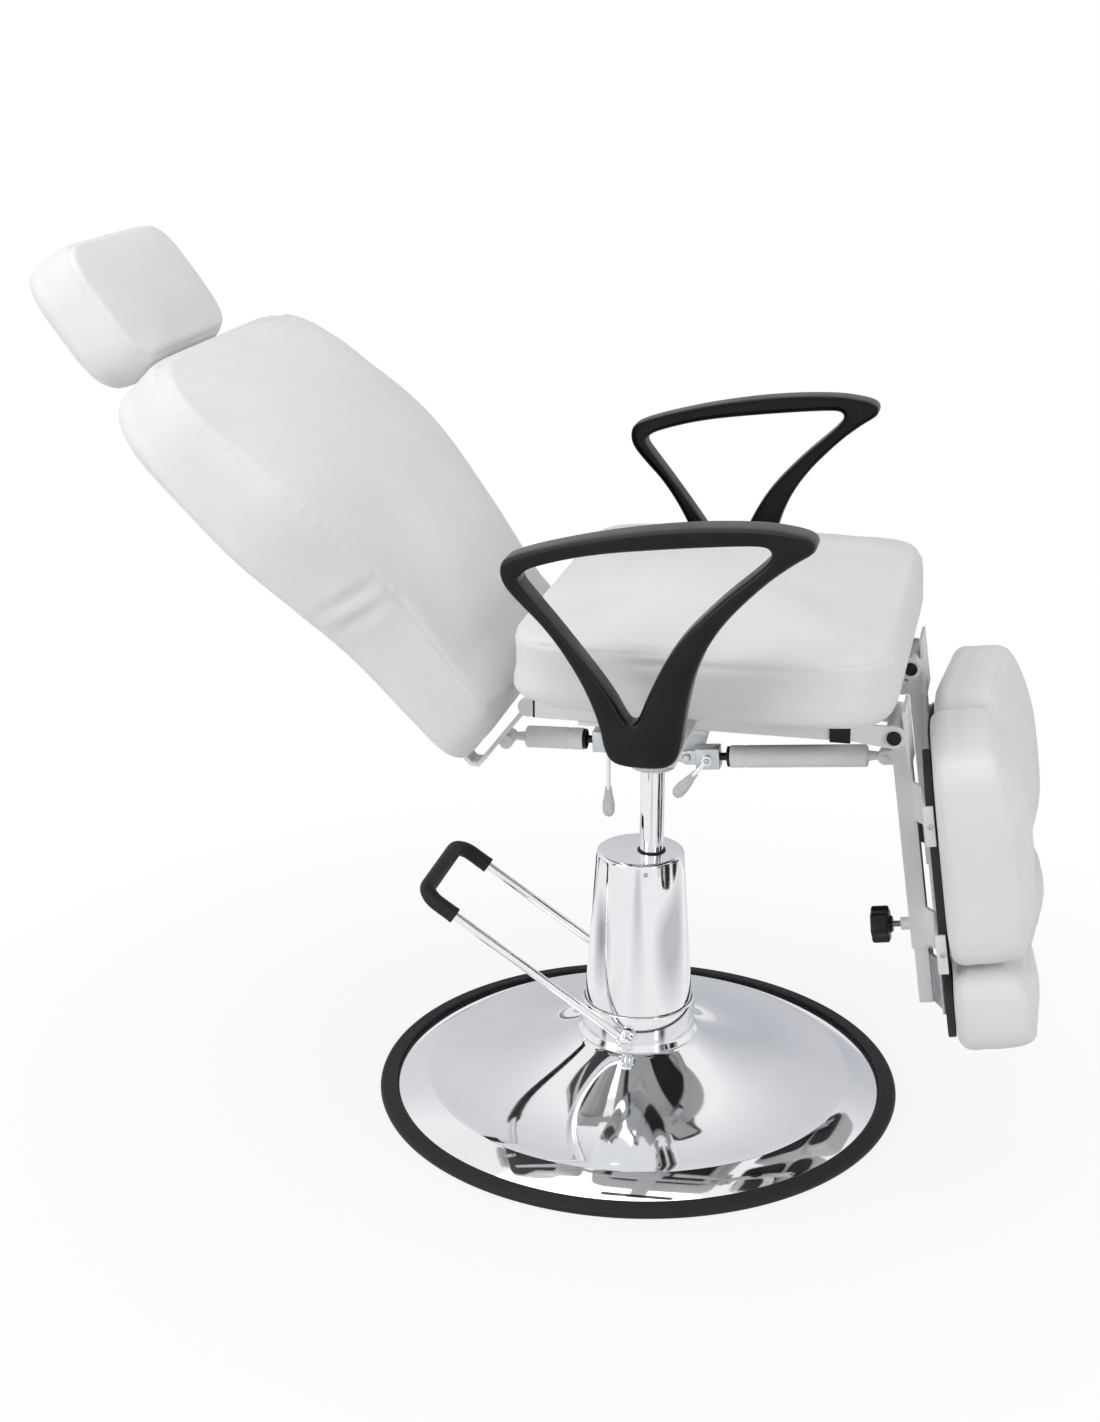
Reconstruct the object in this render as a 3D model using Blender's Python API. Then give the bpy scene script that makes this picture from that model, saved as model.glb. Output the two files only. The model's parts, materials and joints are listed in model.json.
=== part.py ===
"""Pedicure chair on a foot-pumped column, with a swivelling seat, reclining back and two leg rests.

Metres, +Z up. The origin is on the floor under the middle of the round base, +X points to the foot rests
and +Y to the sitter's left. Seat sizes are measured from the swivel axis and from the top of the rails.
"""

import math

import bmesh
import bpy
from mathutils import Matrix, Vector

# Clearances
FIT = 0.0003
RUNNING = 0.0004

# Base
BASE_RADIUS = 0.355
TRIM_WIDTH = 0.023
TRIM_HEIGHT = 0.015
TRIM_LEDGE_WIDTH = 0.0135
TRIM_LEDGE_HEIGHT = 0.0085
FLOOR_PLATE_THICKNESS = 0.008
DISH_WALL = 0.002
DISH_BAND_WIDTH = 0.045
DISH_BAND_RISE = 0.020
DISH_TOP_HEIGHT = 0.085
DISH_HOLE_RADIUS = 0.060
DISH_FLARE = 2.3

# Pump and column
PUMP_RADIUS = 0.036
PUMP_TOP = 0.335
PISTON_RADIUS = 0.016
PISTON_OFFSET = 0.015
COVER_BOTTOM_RADIUS = 0.0735
COVER_TOP_RADIUS = 0.0584
COVER_TOP = 0.349
COVER_SKIRT = 0.042
COVER_WALL = 0.002
COVER_HOLE_GAP = 0.003
COLLAR_WALL = 0.003
COLLAR_HEIGHT = 0.050
COLLAR_LIP = 0.005
LIFT_DOWN = 0.115

# Pedal
PEDAL_PIVOT_HEIGHT = 0.108
PEDAL_SHAFT_RADIUS = 0.007
PEDAL_SHAFT_HEAD = 0.005
PEDAL_EYE_RADIUS = 0.0125
PEDAL_EYE_WIDTH = 0.014
PEDAL_SIDE_GAP = 0.004
PEDAL_ROD_RADIUS = 0.006
PEDAL_LENGTH = 0.334
PEDAL_RISE = math.radians(34.0)
PEDAL_BEND_RADIUS = 0.026
GRIP_RADIUS = 0.011
GRIP_SIDE_LENGTH = 0.052

# Seat frame
SEAT_FRAME_HEIGHT = 0.630
HUB_RADIUS = 0.027
HUB_LENGTH = 0.116
HUB_CAP = 0.032
RAIL_WIDTH = 0.020
RAIL_DEPTH = 0.040
RAIL_WALL = 0.002
RAIL_SPACING = 0.178
RAIL_REAR = -0.115
CROSS_TUBE_SIZE = 0.025
CROSS_TUBE_DROP = 0.017
CARRIER_THICKNESS = 0.005
CARRIER_REAR = -0.060
CARRIER_FRONT = 0.098
GUSSET_THICKNESS = 0.0045
GUSSET_SPACING = 0.121
PIVOT_LAND = 0.014
STRUT_PIN_RADIUS = 0.004

# Every cushion
CUSHION_DRAW = 0.0025

# Seat cushion
SEAT_BOARD_THICKNESS = 0.015
SEAT_BOARD_INSET = 0.044
SEAT_BOARD_SIDE_INSET = 0.095
SEAT_REAR = -0.134
SEAT_FRONT = 0.328
SEAT_WIDTH = 0.596
SEAT_CORNER = 0.055
SEAT_SIDE_HEIGHT = 0.082
SEAT_CROWN = 0.011
SEAT_EDGE = 0.016

# Arm rests
ARM_FOOT_X = 0.058
ARM_FOOT_DROP = 0.024
ARM_FOOT_WIDTH = 0.084
ARM_REACH_BACK = 0.163
ARM_REACH_FRONT = 0.186
ARM_RISE = 0.291
ARM_CROTCH = 0.058
ARM_SPACING = 0.365
ARM_FOOT_THICKNESS = 0.032
ARM_TOP_THICKNESS = 0.044
ARM_LEAN = 0.022
ARM_ROUND = 0.006
ARM_BRACKET_WIDTH = 0.060
ARM_BRACKET_THICKNESS = 0.004
ARM_BRACKET_RISE = 0.045

# Back rest
BACK_HINGE_X = -0.129
BACK_HINGE_DROP = 0.034
BACK_LEAN = math.radians(44.5)
HINGE_PLATE_THICKNESS = 0.004
HINGE_PIN_RADIUS = 0.005
KNUCKLE_RADIUS = 0.0105
STRAP_WIDTH = 0.030
STRAP_THICKNESS = 0.005
STRAP_LENGTH = 0.450
STRAP_DIP = 0.014
BACK_REAR = -0.0962
BACK_BOARD_PROUD = 0.001
BACK_BOARD_THICKNESS = 0.012
BACK_BOARD_INSET = 0.036
BACK_LENGTH = 0.620
BACK_WAIST_WIDTH = 0.458
BACK_WIDTH = 0.572
BACK_WAIST_END = 0.200
BACK_WIDE_START = 0.370
BACK_TOP_CORNER = 0.100
BACK_FOOT_CORNER = 0.030
BACK_LUMBAR = 0.016
BACK_TOP_FALL = 0.014
BACK_FOOT_CHAMFER = 0.048
BACK_CROWN = 0.038
BACK_EDGE = 0.018
BACK_LUG_X = -0.069
BACK_LUG_Z = -0.018

# Head rest
HEAD_GAP = 0.006
HEAD_SET_BACK = 0.062
HEAD_TILT = math.radians(8.0)
HEAD_LENGTH = 0.184
HEAD_WIDTH = 0.322
HEAD_THICKNESS = 0.078
HEAD_CORNER = 0.050
HEAD_CROWN = 0.013
HEAD_EDGE = 0.014
HEAD_BAR_WIDTH = 0.030
HEAD_BAR_THICKNESS = 0.005
HEAD_BAR_DROP = 0.220
HEAD_SLEEVE_DROP = 0.180
HEAD_SLEEVE_LENGTH = 0.110
HEAD_SLEEVE_WALL = 0.003

# Leg rests
LEG_HINGE_X = 0.323
LEG_HINGE_DROP = 0.032
LEG_SWEEP = 0.051
LEG_LEAN = math.radians(8.4)
LEG_SPACING = 0.137
LEG_BARREL_RADIUS = 0.012
LEG_BARREL_LENGTH = 0.086
LEG_BOLT_RADIUS = 0.005
LEG_BOLT_HEAD_RADIUS = 0.009
LEG_BOLT_HEAD = 0.005
LEG_EAR_THICKNESS = 0.005
LEG_EAR_RADIUS = 0.014
LEG_TUBE = 0.022
LEG_TUBE_WALL = 0.002
LEG_TUBE_FRONT = 0.0135
LEG_TUBE_LENGTH = 0.290
LEG_PLATE_RISE = 0.030
LEG_PLATE_FALL = 0.045
LEG_PLATE_THICKNESS = 0.004
LEG_LUG_X = -0.0177
LEG_LUG_Z = -0.0378
LUG_EAR_THICKNESS = 0.004
LUG_RADIUS = 0.009
PAD_TURN = math.radians(5.0)
PAD_REAR = 0.036
PAD_WIDTH = 0.234
PAD_BOARD_THICKNESS = 0.010
PAD_BOARD_INSET = 0.022
PAD_TOP_FALL = 0.015
PAD_CORNER = 0.030
PAD_EDGE = 0.016
PAD_CROWN = 0.025
PAD_DEPTH = 0.094
LEG_PAD_TOP = -0.011
LEG_PAD_LENGTH = 0.272
LEG_BOARD_TOP_INSET = 0.045
FOOT_BOARD_TOP_INSET = 0.014
TIE_DROP_HIGH = 0.095
TIE_DROP_LOW = 0.272
TIE_HEIGHT = 0.050
TIE_WIDTH = 0.040
TIE_THICKNESS = 0.004
FOOT_GAP = 0.006
FOOT_PAD_LENGTH = 0.104
FOOT_TUBE_TOP = -0.120
FOOT_TUBE_BOTTOM = -0.365
FOOT_BRACKET_THICKNESS = 0.004
FOOT_BRACKET_WIDTH = 0.040

# Clamp knobs
KNOB_DROP = 0.260
KNOB_BOSS_RADIUS = 0.008
KNOB_BOSS_LENGTH = 0.0115
KNOB_STUD_RADIUS = 0.004
KNOB_STAND_OFF = 0.0255
KNOB_RADIUS = 0.0235
KNOB_LENGTH = 0.022
KNOB_LOBES = 7
KNOB_LOBE_DEPTH = 0.0022

# Gas struts
STRUT_RADIUS = 0.014
STRUT_WALL = 0.002
STRUT_ROD_RADIUS = 0.005
STRUT_ROD_REACH = 0.125
STRUT_EYE_WIDTH = 0.010
STRUT_EYE_RADIUS = 0.009
STRUT_END_WALL = 0.012
STRUT_MOUTH = 0.052
HEAD_BLOCK_START = 0.012
HEAD_BLOCK_END = 0.042
HEAD_BLOCK_HEIGHT = 0.027
HEAD_BLOCK_WIDTH = 0.022
LEG_PIVOT_X = 0.0675
LEG_PIVOT_DROP = 0.094
BACK_PIVOT_X = -0.015
BACK_PIVOT_DROP = 0.090
BACK_STRUT_SPACING = 0.107
LEVER_ROD_RADIUS = 0.003
LEVER_EYE_RADIUS = 0.0065
LEVER_EYE_WIDTH = 0.0064
LEVER_PIN_RADIUS = 0.003
LEVER_PADDLE_LENGTH = 0.042
LEVER_PADDLE_WIDTH = 0.016
LEVER_LENGTH = 0.064
LEVER_ANGLE = math.radians(227.0)
BACK_LEVER_LENGTH = 0.110
BACK_LEVER_ANGLE = math.radians(271.0)

# Facets
ROUND_SIDES = 48
BAR_SIDES = 10
PIN_SIDES = 16

# Places worked out from the sizes above
DISH_RIM_RADIUS = BASE_RADIUS - TRIM_WIDTH - FIT
DISH_RIM_BOTTOM = TRIM_LEDGE_HEIGHT + FIT
FLOOR_PLATE_RADIUS = BASE_RADIUS - TRIM_WIDTH - TRIM_LEDGE_WIDTH - FIT
COLLAR_BORE = COVER_BOTTOM_RADIUS + FIT
COLLAR_RADIUS = COLLAR_BORE + COLLAR_WALL
PUMP_BORE_BOTTOM = PEDAL_PIVOT_HEIGHT + 2 * PEDAL_SHAFT_RADIUS
PISTON_BOTTOM = PUMP_BORE_BOTTOM + LIFT_DOWN + PEDAL_SHAFT_RADIUS / 2
PEDAL_SPREAD = COLLAR_RADIUS + PEDAL_SIDE_GAP + PEDAL_EYE_WIDTH / 2
RAIL_INNER = RAIL_SPACING - RAIL_WIDTH / 2
RAIL_OUTER = RAIL_SPACING + RAIL_WIDTH / 2
CARRIER_TOP = -RAIL_DEPTH - FIT
CARRIER_BOTTOM = CARRIER_TOP - CARRIER_THICKNESS
HUB_TOP = CARRIER_BOTTOM - FIT
HUB_BORE_TOP = HUB_TOP - HUB_CAP
CROSS_TUBE_FRONT = LEG_HINGE_X - LEG_SWEEP
CROSS_TUBE_REAR = CROSS_TUBE_FRONT - CROSS_TUBE_SIZE
SEAT_BOARD_BOTTOM = FIT
SEAT_BOTTOM = SEAT_BOARD_BOTTOM + SEAT_BOARD_THICKNESS + FIT
BACK_BOARD_REAR = BACK_REAR - FIT - BACK_BOARD_THICKNESS
STRAP_CENTRE = BACK_BOARD_REAR - FIT - STRAP_THICKNESS / 2
STRAP_INNER = RAIL_INNER - FIT - HINGE_PLATE_THICKNESS - 2 * FIT - STRAP_WIDTH
STRAP_OUTER = STRAP_INNER + STRAP_WIDTH
LEG_TUBE_CENTRE = LEG_TUBE_FRONT - LEG_TUBE / 2
LEG_TUBE_REAR = LEG_TUBE_FRONT - LEG_TUBE
FOOT_TUBE = LEG_TUBE - 2 * LEG_TUBE_WALL - 2 * FIT
PAD_BOARD_REAR = -FIT - PAD_BOARD_THICKNESS
LEG_PAD_BOTTOM = LEG_PAD_TOP - LEG_PAD_LENGTH
FOOT_PAD_TOP = LEG_PAD_BOTTOM - FOOT_GAP
HEAD_BASE = BACK_LENGTH + HEAD_GAP
HEAD_BAR_START = BACK_LENGTH - HEAD_BAR_DROP
HEAD_SLEEVE_LOW = BACK_LENGTH - HEAD_SLEEVE_DROP


def clear_scene():
    for obj in list(bpy.data.objects):
        bpy.data.objects.remove(obj, do_unlink=True)


def finish(name, colour, roughness, metallic):
    """A plain material of the piece's own colour."""
    material = bpy.data.materials.new(name)
    material.use_nodes = True
    shader = material.node_tree.nodes["Principled BSDF"]
    shader.inputs["Base Color"].default_value = (*colour, 1.0)
    shader.inputs["Roughness"].default_value = roughness
    shader.inputs["Metallic"].default_value = metallic
    material.diffuse_color = (*colour, 1.0)
    return material


class Frame:
    """An empty that carries pieces. Its place is given in its parent's frame."""

    def __init__(self, name, parent, place):
        self.empty = bpy.data.objects.new(name, None)
        self.empty.empty_display_size = 0.03
        bpy.context.scene.collection.objects.link(self.empty)
        self.matrix = place
        if parent:
            self.empty.parent = parent.empty
            self.matrix = parent.matrix @ place
        self.empty.matrix_basis = place


def moved(x=0.0, y=0.0, z=0.0, lean=0.0, turn=0.0):
    """A place: shifted, then turned about Z and leaned about Y."""
    return Matrix.Translation((x, y, z)) @ Matrix.Rotation(turn, 4, "Z") @ Matrix.Rotation(lean, 4, "Y")


def add_object(name, frame, shape, material):
    mesh = bpy.data.meshes.new(name)
    bmesh.ops.recalc_face_normals(shape, faces=shape.faces)
    shape.to_mesh(mesh)
    shape.free()
    mesh.materials.append(material)
    mesh.shade_smooth()
    mesh.set_sharp_from_angle(angle=math.radians(35.0))
    obj = bpy.data.objects.new(name, mesh)
    bpy.context.scene.collection.objects.link(obj)
    obj.parent = frame.empty
    return obj


def solid(name, frame, material, shape, joined=(), cut=()):
    """One piece: a shape, with others joined to it and then cut from it."""
    obj = add_object(name, frame, shape, material)
    steps = [("UNION", other) for other in joined] + [("DIFFERENCE", other) for other in cut]
    for number, (operation, other) in enumerate(steps):
        helper = add_object(f"{name}_tool_{number}", frame, other, material)
        helper.hide_render = True
        helper.display_type = "WIRE"
        boolean = obj.modifiers.new(f"{operation.lower()}_{number}", "BOOLEAN")
        boolean.operation = operation
        boolean.solver = "EXACT"
        boolean.object = helper
    return obj


def arc(centre, radius, start, end, steps):
    """Points on an arc between two angles in degrees."""
    angles = [math.radians(start + (end - start) * step / steps) for step in range(steps + 1)]
    return [(centre[0] + radius * math.cos(a), centre[1] + radius * math.sin(a)) for a in angles]


def rounded(corners, steps=4, closed=True):
    """A path through (x, y, radius) corners, with each corner turned into an arc."""
    points = []
    count = len(corners)
    for index, (x, y, radius) in enumerate(corners):
        if not closed and index in (0, count - 1):
            points.append((x, y))
            continue
        here = Vector((x, y))
        before = Vector(corners[index - 1][:2]) - here
        after = Vector(corners[(index + 1) % count][:2]) - here
        opening = before.angle(after)
        reach = min(radius / math.tan(opening / 2), 0.48 * before.length, 0.48 * after.length)
        radius = reach * math.tan(opening / 2)
        first = here + before.normalized() * reach
        last = here + after.normalized() * reach
        inward = (before.normalized() + after.normalized()).normalized()
        middle = here + inward * radius / math.sin(opening / 2)
        start = math.atan2(first.y - middle.y, first.x - middle.x)
        swing = math.atan2(last.y - middle.y, last.x - middle.x) - start
        swing = (swing + math.pi) % (2 * math.pi) - math.pi
        for step in range(steps + 1):
            angle = start + swing * step / steps
            points.append((middle.x + radius * math.cos(angle), middle.y + radius * math.sin(angle)))
    return points


def even_loop(points, count):
    """The closed loop walked at equal steps."""
    ends = points + points[:1]
    lengths = [math.dist(a, b) for a, b in zip(ends, ends[1:])]
    step = sum(lengths) / count
    walked = []
    index = 0
    done = 0.0
    for number in range(count):
        target = number * step
        while done + lengths[index] < target:
            done += lengths[index]
            index += 1
        share = (target - done) / lengths[index]
        a, b = ends[index], ends[index + 1]
        walked.append((a[0] + (b[0] - a[0]) * share, a[1] + (b[1] - a[1]) * share))
    return walked


def strip(points, thickness):
    """The outline of a bent flat bar along a line of points."""
    sides = ([], [])
    for index, point in enumerate(points):
        here = Vector(point)
        into = (here - Vector(points[index - 1])).normalized() if index else None
        out = (Vector(points[index + 1]) - here).normalized() if index + 1 < len(points) else None
        into = into or out
        out = out or into
        along = (into + out).normalized()
        reach = thickness / 2 / max(along.dot(into), 0.5)
        across = Vector((-along.y, along.x)) * reach
        sides[0].append(tuple(here + across))
        sides[1].append(tuple(here - across))
    return sides[0] + sides[1][::-1]


def plate(outline, axis, low, high):
    """A flat outline given thickness along an axis. The outline uses the other two axes in X, Y, Z order."""
    shape = bmesh.new()
    order = {"x": (2, 0, 1), "y": (0, 2, 1), "z": (0, 1, 2)}[axis]
    points = [(a, b, low) for a, b in outline]
    base = shape.faces.new([shape.verts.new([point[order[i]] for i in range(3)]) for point in points])
    grown = bmesh.ops.extrude_face_region(shape, geom=[base])["geom"]
    shift = Vector([high - low if "xyz"[i] == axis else 0.0 for i in range(3)])
    bmesh.ops.translate(shape, vec=shift, verts=[v for v in grown if isinstance(v, bmesh.types.BMVert)])
    return shape


def block(low, high):
    corners = [(low[0], low[1]), (high[0], low[1]), (high[0], high[1]), (low[0], high[1])]
    return plate(corners, "z", low[2], high[2])


def rod(start, end, radius, sides=PIN_SIDES, end_radius=None):
    """A round bar between two points."""
    shape = bmesh.new()
    start, end = Vector(start), Vector(end)
    along = end - start
    place = Matrix.Translation((start + end) / 2) @ along.to_track_quat("Z", "Y").to_matrix().to_4x4()
    bmesh.ops.create_cone(
        shape,
        cap_ends=True,
        segments=sides,
        radius1=radius,
        radius2=radius if end_radius is None else end_radius,
        depth=along.length,
        matrix=place,
    )
    return shape


def turned(profile, sides=ROUND_SIDES, x=0.0):
    """A closed (radius, height) profile spun about an upright axis."""
    shape = bmesh.new()
    points = [shape.verts.new((x + radius, 0.0, height)) for radius, height in profile]
    lines = [shape.edges.new((a, b)) for a, b in zip(points, points[1:] + points[:1])]
    bmesh.ops.spin(
        shape,
        geom=points + lines,
        cent=(x, 0, 0),
        axis=(0, 0, 1),
        angle=2 * math.pi,
        steps=sides,
        use_merge=True,
    )
    bmesh.ops.remove_doubles(shape, verts=shape.verts, dist=1e-6)
    bmesh.ops.dissolve_degenerate(shape, edges=shape.edges, dist=1e-6)
    return shape


def swept(points, radius, sides=BAR_SIDES):
    """A round bar bent along a line of points, with closed ends."""
    shape = bmesh.new()
    points = [Vector(point) for point in points]
    rings = []
    across = None
    for index, point in enumerate(points):
        into = (point - points[index - 1]).normalized() if index else None
        out = (points[index + 1] - point).normalized() if index + 1 < len(points) else None
        into = into or out
        out = out or into
        along = (into + out).normalized()
        if across is None:
            across = along.orthogonal().normalized()
        across = (across - along * across.dot(along)).normalized()
        up = along.cross(across)
        spread = radius / max(along.dot(into), 0.5)
        bend = (out - into)
        bend = bend.normalized() if bend.length > 1e-6 else across
        ring = []
        for side in range(sides):
            angle = 2 * math.pi * side / sides
            offset = across * math.cos(angle) * radius + up * math.sin(angle) * radius
            offset += bend * offset.dot(bend) * (spread / radius - 1.0)
            ring.append(shape.verts.new(point + offset))
        rings.append(ring)
    for first, second in zip(rings, rings[1:]):
        for side in range(sides):
            after = (side + 1) % sides
            shape.faces.new((first[side], first[after], second[after], second[side]))
    shape.faces.new(rings[0])
    shape.faces.new(rings[-1])
    return shape


def bridge_rings(shape, rings, centre_low, centre_high):
    """Skins a stack of equal rings and closes both ends on a middle point."""
    count = len(rings[0])
    loops = [[shape.verts.new(point) for point in ring] for ring in rings]
    for first, second in zip(loops, loops[1:]):
        for side in range(count):
            after = (side + 1) % count
            shape.faces.new((first[side], first[after], second[after], second[side]))
    for loop, centre in ((loops[0], centre_low), (loops[-1], centre_high)):
        hub = shape.verts.new(centre)
        for side in range(count):
            shape.faces.new((hub, loop[side], loop[(side + 1) % count]))


def cushion(outline, place, rear, front, crown, edge, draw):
    """An upholstered pad: flat rear, rounded edges, drawn-in sides and a crowned face inside its seam.

    The outline is a loop of (a, b) points, rear and front give the depth there, and place puts (a, b, depth)
    into the piece's frame.
    """
    count = len(outline)
    middle = (sum(p[0] for p in outline) / count, sum(p[1] for p in outline) / count)

    def inset(amount):
        loop = []
        for index, (a, b) in enumerate(outline):
            before, after = Vector(outline[index - 1]), Vector(outline[(index + 1) % count])
            along = (after - before).normalized()
            loop.append((a - along.y * amount, b + along.x * amount))
        return loop

    def shrunk(share):
        keep = 1 - share
        return [(middle[0] + (a - middle[0]) * keep, middle[1] + (b - middle[1]) * keep) for a, b in outline]

    rings = []
    for amount, height in ((edge, 0.0), (0.3 * edge, 0.3 * edge), (0.0, edge)):
        rings.append([place(a, b, rear(a, b) + height) for a, b in inset(amount)])
    rings.append([place(a, b, (rear(a, b) + front(a, b)) / 2) for a, b in inset(draw)])
    for amount, height in ((0.0, 0.7 * edge), (0.25 * edge, 0.12 * edge)):
        rings.append([place(a, b, front(a, b) - height) for a, b in inset(amount)])
    for share in (0.09, 0.22, 0.42, 0.66, 0.86):
        rise = crown * (1 - (1 - share) ** 2.4)
        rings.append([place(a, b, front(a, b) + rise) for a, b in shrunk(share)])
    shape = bmesh.new()
    low = place(*middle, rear(*middle))
    high = place(*middle, front(*middle) + crown)
    bridge_rings(shape, rings, low, high)
    return shape


def make_base(frame, finishes):
    """Ballast plate, spun dish, rubber trim, pump, its cover and the collar round the cover's foot."""
    solid(
        "floor_plate",
        frame,
        finishes["steel"],
        rod((0, 0, 0), (0, 0, FLOOR_PLATE_THICKNESS), FLOOR_PLATE_RADIUS, ROUND_SIDES),
    )
    ledge = BASE_RADIUS - TRIM_WIDTH
    inner = ledge - TRIM_LEDGE_WIDTH
    shoulder = TRIM_WIDTH / 4
    solid(
        "base_trim",
        frame,
        finishes["rubber"],
        turned(
            [
                (inner, 0.0),
                (inner, TRIM_LEDGE_HEIGHT),
                (ledge, TRIM_LEDGE_HEIGHT),
                (ledge, TRIM_HEIGHT - shoulder / 2),
                (ledge + shoulder / 2, TRIM_HEIGHT),
                (BASE_RADIUS - 1.6 * shoulder, TRIM_HEIGHT),
                (BASE_RADIUS - 0.5 * shoulder, TRIM_HEIGHT - 0.6 * shoulder),
                (BASE_RADIUS, TRIM_HEIGHT / 2),
                (BASE_RADIUS - 1.4 * shoulder, 0.0),
            ]
        ),
    )
    band = DISH_RIM_RADIUS - DISH_BAND_WIDTH
    band_top = DISH_RIM_BOTTOM + DISH_BAND_RISE
    top = COLLAR_RADIUS + COLLAR_LIP
    crown = []
    for step in range(7):
        share = step / 6
        height = band_top + (DISH_TOP_HEIGHT - band_top) * share**DISH_FLARE
        crown.append((band + (top - band) * share, height))
    skin = [(DISH_RIM_RADIUS, DISH_RIM_BOTTOM + DISH_WALL)] + crown + [(DISH_HOLE_RADIUS, DISH_TOP_HEIGHT)]
    under = [(radius, height - DISH_WALL) for radius, height in skin]
    solid("base_dish", frame, finishes["chrome"], turned(skin + under[::-1]))

    past = 1.5 * COLLAR_RADIUS
    shaft_hole = ((0, -past, PEDAL_PIVOT_HEIGHT), (0, past, PEDAL_PIVOT_HEIGHT), PEDAL_SHAFT_RADIUS + RUNNING)
    solid(
        "pump_body",
        frame,
        finishes["steel"],
        rod((PISTON_OFFSET, 0, FLOOR_PLATE_THICKNESS + FIT), (PISTON_OFFSET, 0, PUMP_TOP), PUMP_RADIUS, 32),
        cut=(
            rod(
                (PISTON_OFFSET, 0, PUMP_BORE_BOTTOM),
                (PISTON_OFFSET, 0, PUMP_TOP + PUMP_RADIUS),
                PISTON_RADIUS + RUNNING,
                32,
            ),
            rod(*shaft_hole),
        ),
    )
    foot = DISH_TOP_HEIGHT + FIT
    skirt = foot + COVER_SKIRT
    wall = COVER_WALL
    solid(
        "pump_cover",
        frame,
        finishes["chrome"],
        turned(
            [
                (COVER_BOTTOM_RADIUS, foot),
                (COVER_BOTTOM_RADIUS, skirt),
                (COVER_TOP_RADIUS, COVER_TOP - wall),
                (COVER_TOP_RADIUS - wall, COVER_TOP),
                (0.0, COVER_TOP),
                (0.0, COVER_TOP - wall),
                (COVER_TOP_RADIUS - 2 * wall, COVER_TOP - wall),
                (COVER_BOTTOM_RADIUS - wall, skirt),
                (COVER_BOTTOM_RADIUS - wall, foot),
            ],
            36,
        ),
        cut=(
            rod(
                (PISTON_OFFSET, 0, COVER_TOP - 3 * wall),
                (PISTON_OFFSET, 0, COVER_TOP + 3 * wall),
                PISTON_RADIUS + COVER_HOLE_GAP,
                32,
            ),
            rod(*shaft_hole),
        ),
    )
    lip = COLLAR_RADIUS + COLLAR_LIP - DISH_WALL
    solid(
        "pump_collar",
        frame,
        finishes["chrome"],
        turned(
            [
                (COLLAR_BORE, foot),
                (lip, foot),
                (lip, foot + COLLAR_LIP / 2),
                (COLLAR_RADIUS, foot + 1.6 * COLLAR_LIP),
                (COLLAR_RADIUS, foot + COLLAR_HEIGHT - COLLAR_WALL / 2),
                (COLLAR_RADIUS - COLLAR_WALL / 2, foot + COLLAR_HEIGHT),
                (COLLAR_BORE, foot + COLLAR_HEIGHT),
            ],
            36,
        ),
        cut=(rod(*shaft_hole),),
    )


def pedal_path(first, last):
    """The U of the pedal bar from the near side round to the far side, in the pedal's own frame."""
    near = [(first, -PEDAL_SPREAD), (PEDAL_LENGTH, -PEDAL_SPREAD)]
    far = [(PEDAL_LENGTH, PEDAL_SPREAD), (last, PEDAL_SPREAD)]
    flat = rounded([(*point, PEDAL_BEND_RADIUS) for point in near + far], steps=6, closed=False)
    return [
        (-distance * math.cos(PEDAL_RISE), side, distance * math.sin(PEDAL_RISE)) for distance, side in flat
    ]


def make_pedal(base, finishes):
    """Foot pedal: cross shaft through the pump, a U-shaped bar and a rubber grip on its far end."""
    frame = Frame("pedal_pivot", base, moved(z=PEDAL_PIVOT_HEIGHT))
    half = PEDAL_SPREAD + PEDAL_EYE_WIDTH / 2 + FIT
    ends = []
    for side in (-1, 1):
        outer = side * (half + PEDAL_SHAFT_HEAD)
        ends.append(rod((0, side * half, 0), (0, outer, 0), 1.4 * PEDAL_SHAFT_RADIUS))
    reach = half + PEDAL_SHAFT_HEAD / 2
    shaft = rod((0, -reach, 0), (0, reach, 0), PEDAL_SHAFT_RADIUS)
    solid("pedal_shaft", frame, finishes["steel"], shaft, joined=ends)
    eyes = []
    holes = []
    for side in (-1, 1):
        low = side * (PEDAL_SPREAD - PEDAL_EYE_WIDTH / 2)
        high = side * (PEDAL_SPREAD + PEDAL_EYE_WIDTH / 2)
        eyes.append(rod((0, low, 0), (0, high, 0), PEDAL_EYE_RADIUS))
        holes.append(rod((0, 0.8 * low, 0), (0, 1.2 * high, 0), PEDAL_SHAFT_RADIUS + FIT))
    start = (PEDAL_EYE_RADIUS + PEDAL_SHAFT_RADIUS) / 2 + FIT
    solid(
        "pedal_bar",
        frame,
        finishes["chrome"],
        swept(pedal_path(start, start), PEDAL_ROD_RADIUS),
        joined=eyes,
        cut=holes,
    )
    grip = PEDAL_LENGTH - GRIP_SIDE_LENGTH
    longer = grip - PEDAL_BEND_RADIUS
    solid(
        "pedal_grip",
        frame,
        finishes["rubber"],
        swept(pedal_path(grip, grip), GRIP_RADIUS),
        cut=(swept(pedal_path(longer, longer), PEDAL_ROD_RADIUS + FIT),),
    )


def make_column(base, finishes):
    """Piston rod that rises out of the pump, and the frame of the seat that turns on it."""
    lift = Frame("lift", base, moved(x=PISTON_OFFSET))
    top = SEAT_FRAME_HEIGHT + HUB_BORE_TOP - FIT
    chamfer = PISTON_RADIUS / 8
    solid(
        "piston_rod",
        lift,
        finishes["chrome"],
        turned(
            [
                (0.0, PISTON_BOTTOM),
                (PISTON_RADIUS, PISTON_BOTTOM),
                (PISTON_RADIUS, top - chamfer),
                (PISTON_RADIUS - chamfer, top),
                (0.0, top),
            ],
            32,
        ),
    )
    return Frame("seat_swivel", lift, moved(z=SEAT_FRAME_HEIGHT))


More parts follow.
